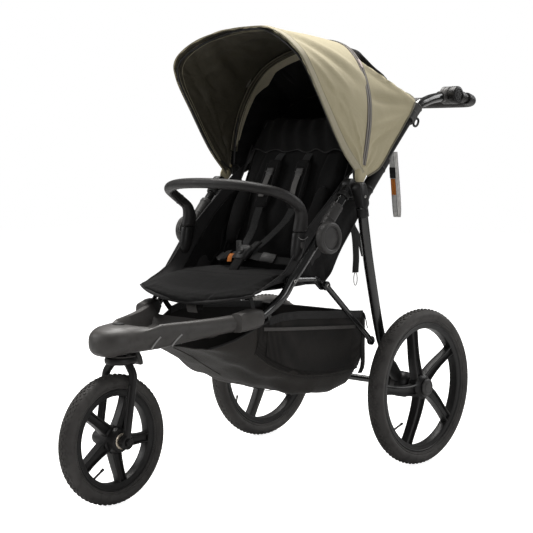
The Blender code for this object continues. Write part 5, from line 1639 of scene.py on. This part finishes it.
def harness():
    for side, word in SIDES:
        # strap from the cushion's slot, through the pad, to the buckle
        line = smooth_path([on_back(0.72, side * 0.046, 0.006), on_back(0.66, side * 0.048, 0.0150),
                            on_back(0.50, side * 0.052, 0.0200),
                            on_back(0.36, side * 0.056, 0.0200), on_back(0.26, side * 0.052, 0.0260),
                            on_back(0.16, side * 0.038, 0.0400),
                            Vector((side * 0.020, 0.0420, 0.5520))], 6)
        piece(strap(line, 0.0250, 0.0022, wide_way=LEFT), f"shoulder_webbing_{word}", "webbing", "backrest")
        rows = []
        for t, x, w, thick in ((0.335, 0.056, 0.016, 0.0030), (0.35, 0.056, 0.0225, 0.0060),
                               (0.42, 0.054, 0.0240, 0.0070), (0.52, 0.052, 0.0245, 0.0070),
                               (0.60, 0.050, 0.0240, 0.0065), (0.645, 0.049, 0.0220, 0.0055),
                               (0.66, 0.049, 0.0150, 0.0030)):
            rows.append(section(on_back(t, side * x, 0.0205), w, thick, LEFT, REAR, 0.7, 28))
        pad = piece(subdivided(lofted(rows, True, True), 1), f"shoulder_pad_{word}", "black_cloth",
                    "backrest", f"shoulder_strap_{word}", 60)
        for k, x in enumerate((-0.0190, 0.0190)):
            seam = [on_back(t, side * 0.052 + x * 0.95, 0.0262) for t in (0.37, 0.45, 0.55, 0.63)]
            piece(tube(smooth_path(seam, 5), 0.0009, 8), f"shoulder_seam_{word}_{k + 1}", "black_edge",
                  "backrest")
        slider = [section(on_back(t, side * 0.050, 0.0285), 0.0110, 0.0026, LEFT, REAR, 0.4, 24)
                  for t in (0.545, 0.552, 0.588, 0.595)]
        slider = joined([softened(lofted(slider, True, True), 0.0010, 2),
                         tube([on_back(0.57, side * 0.050 - 0.012, 0.0310),
                               on_back(0.57, side * 0.050 + 0.012, 0.0310)], 0.0016, 10)])
        piece(slider, f"strap_adjuster_{word}", "grey_plastic", "backrest")
        tail = smooth_path([on_back(0.545, side * 0.050, 0.0300), on_back(0.47, side * 0.051, 0.0330),
                            on_back(0.40, side * 0.053, 0.0320)], 6)
        piece(strap(tail, 0.0180, 0.0018, wide_way=LEFT), f"strap_tail_{word}", "grey_webbing", "backrest")
        waist = smooth_path([Vector((side * 0.1480, 0.1000, 0.5350)),
                             Vector((side * 0.1100, 0.0680, 0.5330)),
                             Vector((side * 0.0650, 0.0450, 0.5390)),
                             Vector((side * 0.0260, 0.0360, 0.5460))], 8)
        piece(strap(waist, 0.0250, 0.0022, (0, -0.7, 0.7)), f"waist_webbing_{word}", "webbing", "frame")
        loop = smooth_path([Vector((side * 0.0860, 0.0520, 0.5370)),
                            Vector((side * 0.0700, 0.0450, 0.5400)),
                            Vector((side * 0.0540, 0.0400, 0.5420))], 5)
        piece(strap(loop, 0.0300, 0.0090, (0, -0.7, 0.7)), f"waist_slider_{word}", "plastic", "frame")
    crotch = smooth_path([(0, -0.0080, 0.5040), (0, 0.0010, 0.5180), (0, 0.0150, 0.5330),
                          (0, 0.0270, 0.5440)], 6)
    piece(strap(crotch, 0.0300, 0.0075, wide_way=LEFT), "crotch_pad", "black_cloth", "frame")
    rows = []
    way = Vector((0, 0.62, 0.78))
    front = Vector((0, -0.78, 0.62))
    for h, w, d in ((-0.020, 0.0150, 0.0060), (-0.017, 0.0185, 0.0085), (-0.004, 0.0215, 0.0105),
                    (0.008, 0.0245, 0.0105), (0.018, 0.0250, 0.0090),
                    (0.022, 0.0200, 0.0065)):
        rows.append(section(Vector((0, 0.0300, 0.5500)) + way * h, w, d, LEFT, front, 0.75, 32))
    button = lathe([(0, 0.0022), (0.0085, 0.0020), (0.0100, 0.0008), (0.0102, -0.003), (0, -0.003)],
                   Vector((0, 0.0300, 0.5500)) + front * 0.0105, front, 40)
    piece(joined([lofted(rows, True, True), button]), "harness_buckle_body", "plastic", "frame",
          "harness_buckle")
    for side, word in SIDES:
        tongue = [section(Vector((side * 0.0150, 0.0340, 0.5540)) + way * h + LEFT * side * h * 0.6, 0.0105,
                          0.0042, LEFT, front, 0.5, 20)
                  for h in (0.0, 0.016, 0.030)]
        piece(lofted(tongue, True, True), f"buckle_tongue_{word}", "plastic", "frame")
    tag = smooth_path([Vector((-0.0330, 0.0260, 0.5480)), Vector((-0.0350, 0.0200, 0.5400)),
                       Vector((-0.0345, 0.0160, 0.5280))], 5)
    piece(strap(tag, 0.0110, 0.0014, wide_way=(1, 0.5, 0)), "harness_tag", "orange", "frame")


def seat_straps():
    for side, word in SIDES:
        # webbing from the pad's corner down to the platform's ear
        path = [Vector((side * 0.150, -0.1050, 0.4640)), Vector((side * 0.1620, -0.1120, 0.4480)),
                Vector((side * 0.1700, -0.1150, 0.4330))]
        piece(strap(smooth_path(path, 5), 0.0220, 0.0024, wide_way=(0.35, -1, 0)), f"front_strap_{word}",
              "webbing", "frame")
        # recline strap and its wire loop, hanging behind the seat
        path = smooth_path([Vector((side * 0.1500, 0.2300, 0.6750)),
                            Vector((side * 0.1580, 0.2680, 0.6100)),
                            Vector((side * 0.1600, 0.2780, 0.5450)),
                            Vector((side * 0.1600, 0.2760, 0.4950))], 6)
        piece(strap(path, 0.0200, 0.0022, wide_way=(0.25, 1, 0)), f"recline_strap_{word}", "webbing",
              "backrest")
        ring = []
        for k in range(28):
            a = 2 * math.pi * k / 28
            ring.append(Vector((side * 0.1600, 0.2765 + 0.0070 * math.cos(a),
                                0.4790 + 0.0165 * math.sin(a))))
        piece(tube(ring, 0.0011, 10, True), f"recline_loop_{word}", "steel", "backrest")
        path = smooth_path([Vector((side * 0.1560, 0.2560, 0.6300)),
                            Vector((side * 0.1620, 0.2860, 0.5850)),
                            Vector((side * 0.1640, 0.3050, 0.5350))], 6)
        piece(strap(path, 0.0160, 0.0020, wide_way=(0.25, 1, 0)), f"recline_tail_{word}", "webbing",
              "backrest")


def hammock():
    """The sling under the cushions, which carries on from the seat up the back."""
    line = smooth_path([(0, -0.0900, 0.4760), (0, -0.0200, 0.4770), (0, 0.0500, 0.4790),
                        (0, 0.0950, 0.4850), (0, 0.1230, 0.5050),
                        (0, 0.1480, 0.5500), (0, 0.1760, 0.6120), (0, 0.2450, 0.7600), (0, 0.3020, 0.8850)],
                       6)
    rows = []
    for i, p in enumerate(line):
        row = []
        for j in range(33):
            u = j / 32 * 2 - 1
            dip = 0.006 * (1 - u * u) + 0.0018 * noise.noise(Vector((u * 3, i * 0.12, 6)))
            row.append(Vector((u * 0.1720, p.y + dip * 0.6, p.z - dip)))
        rows.append(row)
    area = spread(rows)
    sling = piece(cloth(rows, 0.0018, (0, 0.0, 0.8), "black_cloth"), "seat_sling", "black_cloth", None,
                  angle=60)
    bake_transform(sling)


def curtain():
    """Black cloth that closes the canopy's back, between the pusher tubes."""
    rows = []
    for i, p in enumerate(reversed(smooth_path(REAR_EDGE[1:], 7)[:-2])):
        row = []
        for j in range(41):
            u = j / 40 * 2 - 1
            reach = p.x / 0.218
            fold = 0.0040 * noise.noise(Vector((u * 5, i * 0.12,
                                                3))) + 0.0030 * math.sin(u * 14 + i * 0.2) * (1 - abs(u))
            sag = (0.014 * (1 - u * u) + fold) * reach
            row.append(Vector((u * (p.x - 0.002), p.y + sag - 0.001, p.z - sag - 0.001)))
        rows.append(row)
    area = spread(rows)
    sheet = piece(cloth(rows, 0.0016, (0, 0.0, 0.8), "black_cloth"), "canopy_curtain", "black_cloth",
                  "pusher", angle=60)


seat_front()
seat_wings()
side_panels()
back_cushion()
harness()
hammock()
curtain()
seat_straps()


# ---------------------------------------------------------------- bumper bar
def bumper():
    half = [
        (0.1890, 0.0300, 0.6270), (0.1895, 0.0330, 0.6440), (0.1925, 0.0285, 0.6600),
        (0.1965, 0.0120, 0.6745),
        (0.1950, -0.0190, 0.6935), (0.1790, -0.0500, 0.7070), (0.1450, -0.0740, 0.7160),
        (0.1000, -0.0900, 0.7220),
        (0.0500, -0.0985, 0.7248), (0.0, -0.1010, 0.7256),
    ]
    path = smooth_path(mirrored(half), 10)
    body = [tube(path, 0.0125, 32)]
    for side, word in SIDES:
        cuff = []
        for (x, y, z), wide, deep in (
            ((0.1890, 0.0262, 0.6108), 0.0120, 0.0185), ((0.1890, 0.0266, 0.6125), 0.0134, 0.0199),
            ((0.1891, 0.0292, 0.6240), 0.0136, 0.0196),
            ((0.1896, 0.0314, 0.6380), 0.0136, 0.0182), ((0.1906, 0.0312, 0.6500), 0.0134, 0.0162),
            ((0.1925, 0.0262, 0.6612), 0.0130, 0.0138),
            ((0.1948, 0.0160, 0.6690), 0.0127, 0.0128),
        ):
            cuff.append(section((side * x, y, z), wide, deep, LEFT, BACK, 0.85, 32))
        body.append(subdivided(lofted(cuff, True, True)))
        peg = [section((side * 0.1890, 0.0159, 0.5642), 0.0045, 0.0090, LEFT, BACK, 0.6, 16),
               section((side * 0.1890, 0.0282, 0.6200), 0.0045, 0.0090, LEFT, BACK, 0.6, 16)]
        body.append(lofted(peg, True, True))
        rows = []
        for (x, y, z), wide, deep in (
            ((0.1880, 0.0115, 0.5425), 0.0060, 0.0070), ((0.1881, 0.0120, 0.5445), 0.0085, 0.0102),
            ((0.1886, 0.0140, 0.5530), 0.0108, 0.0142),
            ((0.1890, 0.0160, 0.5620), 0.0122, 0.0172), ((0.1890, 0.0200, 0.5800), 0.0131, 0.0186),
            ((0.1890, 0.0240, 0.5980), 0.0135, 0.0196),
            ((0.1890, 0.0256, 0.6062), 0.0136, 0.0200), ((0.1890, 0.0262, 0.6092), 0.0126, 0.0190),
        ):
            rows.append(section((side * x, y, z), wide, deep, LEFT, BACK, 0.85, 32))
        piece(lofted(rows, True, True), f"bar_adapter_shaped_{word}", "plastic", "frame",
              f"bar_adapter_{word}", 45)
        # the arched seam and its light moulded edge near the adapter's top
        line = []
        for k in range(15):
            u = k / 14 * 2 - 1
            line.append(Vector((side * (0.1890 + 0.0137), 0.0235 + u * 0.0170,
                                0.5990 - 0.0065 * (1 - u * u))))
        piece(tube(line, 0.0008, 8), f"bar_adapter_edge_{word}", "accent", "frame")
        button = [section((side * (0.2018 + h), 0.0200, 0.5800), r, r * 1.3, BACK, UP, 0.9, 24) for h,
                  r in ((0.0, 0.0062), (0.0016, 0.0060), (0.0026, 0.0048))]
        piece(lofted(button, True, True), f"bar_release_{word}", "grey_plastic", "frame")
    piece(joined(body), "bumper_bar_wrapped", "leather", "bumper", "bumper_bar", 50)
    # the cover's seam runs round the inside of the bar, with a stitch line each side
    for k, angle in enumerate((-2.36, -2.08, -1.80)):
        line = []
        for p, side_way, normal in frames(path, UP):
            line.append(p + normal * (0.0126 * math.sin(angle)) - side_way * (0.0126 * math.cos(angle)))
        line = line[14:-14]
        if k == 1:
            piece(tube(line, 0.0007, 8), "bar_seam", "thread_dark", "bumper")
        else:
            stitched(f"bar_stitch_{k + 1}", line, 0.0005, UP, "bumper", 0.0042)
    for side, word in SIDES:
        end, up, across = Vector((side * 0.1963, 0.0040,
                                  0.6797)), Vector((0, 0.522, 0.853)), Vector((side, 0.10, -0.03))
        turns = [2 * math.pi * k / 32 for k in range(32)]
        ring = [end + up * (0.0129 * math.cos(a)) + across * (0.0129 * math.sin(a)) for a in turns]
        piece(tube(ring, 0.0008, 8, True), f"bar_cover_end_{word}", "thread_dark", "bumper")


# ---------------------------------------------------------------- basket
STATIONS = (
    (-0.2150, 0.124, 0.3490, 0.3420), (-0.1850, 0.134, 0.3550, 0.3290), (-0.1500, 0.146, 0.3660, 0.3120),
    (-0.1100, 0.158, 0.3830, 0.2880), (-0.0600, 0.168, 0.4050, 0.2600), (-0.0200, 0.174, 0.4130, 0.2410),
    (0.0400, 0.176, 0.4125, 0.2170), (0.1200, 0.176, 0.4060, 0.1940), (0.2000, 0.176, 0.4000, 0.1900),
    (0.2600, 0.175, 0.3950, 0.2030), (0.2880, 0.173, 0.3930, 0.2300),
)


def station(y):
    """Half width, top and bottom of the basket at y, between the stations."""
    for a, b in zip(STATIONS, STATIONS[1:]):
        if y <= b[0]:
            t = max(0.0, (y - a[0]) / (b[0] - a[0]))
            return [p + (q - p) * t for p, q in zip(a[1:], b[1:])]
    return list(STATIONS[-1][1:])


def square(y):
    """How upright the sides are: the basket is rounder in front and boxier behind."""
    return 0.55 - 0.36 * min(1.0, max(0.0, (y + 0.12) / 0.24))


def basket_point(y, u):
    """u runs from the left top edge, 0, under the belly to the right top edge, 1."""
    w, high, low = station(y)
    angle = math.pi * u
    c, s = math.cos(angle), math.sin(angle)
    return Vector((math.copysign(abs(c) ** square(y), c) * w, y, high - (high - low) * abs(s) ** 0.75))


def seam_height(y):
    """Where the mesh side meets the belly cloth."""
    return 0.250 + 0.119 * max(0.0, (0.200 - y) / 0.340) ** 2.9


def basket():
    rows, ys = [], [-0.2150 + 0.5030 * k / 46 for k in range(47)]
    for y in ys:
        row = []
        for k in range(61):
            u = k / 60
            p = basket_point(y, u)
            belly = math.sin(math.pi * u) ** 2
            sag = 0.0045 * math.sin((u - 0.5) * 34 + y * 20) * belly * math.exp(-(((y - 0.02) / 0.11) ** 2))
            sag += 0.0060 * noise.noise(Vector((u * 6, y * 11, 1))) * belly
            slack = belly * max(0.0, min(1.0, (y + 0.20) * 9)) * (0.4 if y > 0.1 else 1.0)
            sag += 0.0040 * math.sin(y * 62 + 5 * abs(u - 0.5)) * slack
            p.z += sag + 0.002 * belly
            row.append(p)
        rows.append(row)
    area = spread(rows)
    body = piece(cloth(rows, 0.0022, (0, 0.05, 0.45), "basket", "basket_inside"), "basket_belly", "basket",
                 "frame", "basket", 60)
    # rear wall
    wall = []
    for k in range(13):
        t = k / 12
        row = []
        for j in range(33):
            u = j / 32
            p = basket_point(0.2880, u)
            top = Vector((p.x * 0.985, 0.2930, 0.3930))
            q = p.lerp(top, t)
            q.y += (0.006 * math.sin(math.pi * u) + 0.002 * math.sin(u * 30)) * math.sin(math.pi * t)
            row.append(q)
        wall.append(row)
    back = piece(cloth(wall, 0.0018, (0, 0.10, 0.33), "mesh"), "basket_rear_wall", "mesh", "frame",
                 angle=60)
    spread(wall)
    for side, word in SIDES:
        # mesh side, with the belly's seam along its lower edge
        panel = []
        ys_side = [-0.0920 + 0.3820 * k / 40 for k in range(41)]
        for k in range(15):
            t = k / 14
            row = []
            for y in ys_side:
                w, high, low = station(y)
                bottom = min(high - 0.002, max(seam_height(y), low + 0.012))
                z = high - 0.004 + (bottom - high + 0.004) * t
                drop = max(0.0, min(1.0, (high - z) / (high - low)))
                c = math.cos(math.asin(drop ** (1 / 0.75)))
                x = c ** square(y) * w + 0.0012 + 0.0016 * noise.noise(Vector((y * 18, t * 4, side)))
                x += 0.002 * math.sin(math.pi * t) ** 2
                row.append(Vector((side * x, y, z)))
            panel.append(row)
        area = spread(panel)
        mesh = piece(cloth(panel, 0.0014, (0, 0.10, 0.33), "mesh"), f"basket_side_{word}", "mesh", "frame",
                     angle=60)
        piece(tube(panel[-1], 0.0017, 10), f"basket_seam_{word}", "basket", "frame")
        seam = [p + Vector((side * 0.0004, 0, -0.0065)) for p in panel[-1][6:]]
        piece(tube(seam, 0.0008, 8), f"basket_seam_stitch_{word}", "black_edge", "frame")
        # thick binding along the top, and round the front of the opening
        top = [Vector((side * (station(y)[0] + 0.0006), y, station(y)[1] - 0.0035))
               for y in [-0.0600 + 0.3480 * k / 30 for k in range(31)]]
        piece(strap(top, 0.0190, 0.0062, wide_way=UP), f"basket_top_binding_{word}", "black_edge", "frame")
        nose = [Vector((side * (station(y)[0] + 0.0004), y, station(y)[1] - 0.0010))
                for y in [-0.2150 + 0.1550 * k / 24 for k in range(25)]]
        piece(tube(nose, 0.0026, 10), f"basket_front_binding_{word}", "black_edge", "frame")
        # pocket band: a lighter elastic edge
        band = []
        for k in range(29):
            y = -0.0780 + 0.3300 * k / 28
            z = 0.3850 - 0.0240 * (k / 28)
            band.append(Vector((side * (station(y)[0] + 0.0052), y, z)))
        piece(strap(band, 0.0085, 0.0022, wide_way=UP), f"basket_pocket_edge_{word}", "pocket_edge",
              "frame")
        pocket = []
        for k in range(9):
            t = k / 8
            row = []
            for p in band[1:-1]:
                bottom = max(seam_height(p.y) + 0.012, station(p.y)[2] + 0.024)
                z = p.z - 0.003 + (bottom - p.z + 0.003) * t
                row.append(Vector((side * (abs(p.x) - 0.0016 - 0.0030 * t), p.y, z)))
            pocket.append(row)
        front = piece(cloth(pocket, 0.0012, (0, 0.10, 0.33), "mesh"), f"basket_pocket_{word}", "mesh",
                      "frame", angle=60)
        spread(pocket)
        # rear corner binding and the strap that ties it to the leg
        corner = [Vector((side * 0.1745, 0.2890, z))
                  for z in (0.3900, 0.3500, 0.3050, 0.2600)] + [Vector((side * 0.1690, 0.2850, 0.2380))]
        piece(strap(smooth_path(corner, 6), 0.0150, 0.0046, wide_way=(0, 1, 0)),
              f"basket_rear_binding_{word}", "black_edge", "frame")
        lip = [Vector((side * 0.1760, 0.2860, 0.3910)), Vector((side * 0.1800, 0.2920, 0.3820)),
               Vector((side * 0.1825, 0.2960, 0.3600))]
        piece(strap(smooth_path(lip, 5), 0.0160, 0.0026, wide_way=(0, -0.3, 1)), f"basket_tie_{word}",
              "webbing", "frame")
        front_tie = [Vector((side * 0.1680, -0.0560, 0.4040)), Vector((side * 0.1740, -0.0640, 0.4180)),
                     Vector((side * 0.1800, -0.0720, 0.4340))]
        piece(strap(smooth_path(front_tie, 5), 0.0150, 0.0024, wide_way=(0, 1, 1)),
              f"basket_front_tie_{word}", "webbing", "frame")
    lip = [Vector((x * 0.1700, 0.2930, 0.3925)) for x in (-1, -0.5, 0, 0.5, 1)]
    piece(tube(smooth_path(lip, 6), 0.0026, 10), "basket_rear_lip", "black_edge", "frame")
    rib = [basket_point(-0.210 + 0.001 * k, 0.5) + Vector((0, 0, -0.0006)) for k in range(0, 488, 12)]
    piece(tube(rib, 0.0012, 8), "basket_keel_seam", "basket", "frame")


# ---------------------------------------------------------------- wrist strap
def wrist_strap():
    """Pale webbing looped through the pusher's ring, with a black band and an orange patch."""
    x = 0.196
    front = smooth_path([(x, 0.3935, 0.8000), (x, 0.3948, 0.7500), (x, 0.3962, 0.7000), (x, 0.3958, 0.6550),
                         (x, 0.3925, 0.6350),
                         (x, 0.3895, 0.6332)], 8)
    back = smooth_path([(x, 0.3895, 0.6332), (x, 0.3858, 0.6360), (x, 0.3838, 0.6600), (x, 0.3830, 0.7100),
                        (x, 0.3822, 0.7600),
                        (x, 0.3815, 0.7980)], 8)
    for p in front + back[1:]:
        p.y += 0.018 * (0.800 - p.z) / 0.167 - 0.006
    whole = front + back[1:]
    piece(strap(whole, 0.0180, 0.0018, wide_way=LEFT), "wrist_webbing", "pale_webbing", "strap",
          "wrist_strap")
    dark = [p + Vector((0, 0.0010, 0)) for p in front[:-2]]
    piece(strap(dark, 0.0188, 0.0012, wide_way=LEFT), "wrist_webbing_back", "webbing", "strap")
    for name, (low, high), mat, wide in (("wrist_band", (0.7330, 0.7600), "webbing", 0.0190),
                                         ("wrist_patch", (0.6900, 0.7310), "orange", 0.0140)):
        line = [Vector((x, 0.3748 + (0.7600 - z) * 0.015 + 0.018 * (0.800 - z) / 0.167, z))
                for z in [low + (high - low) * k / 8 for k in range(9)]]
        piece(strap(line, wide, 0.0014, wide_way=LEFT), name, mat, "strap")
    edges = []
    for side in (1, -1):
        line = [p + LEFT * side * 0.0072 + Vector((0, -0.0011, 0)) for p in back[6:-2]]
        edges.append(tube(line, 0.0005, 6))
    piece(joined(edges), "wrist_stitching", "grey_webbing", "strap")


bumper()
basket()
wrist_strap()
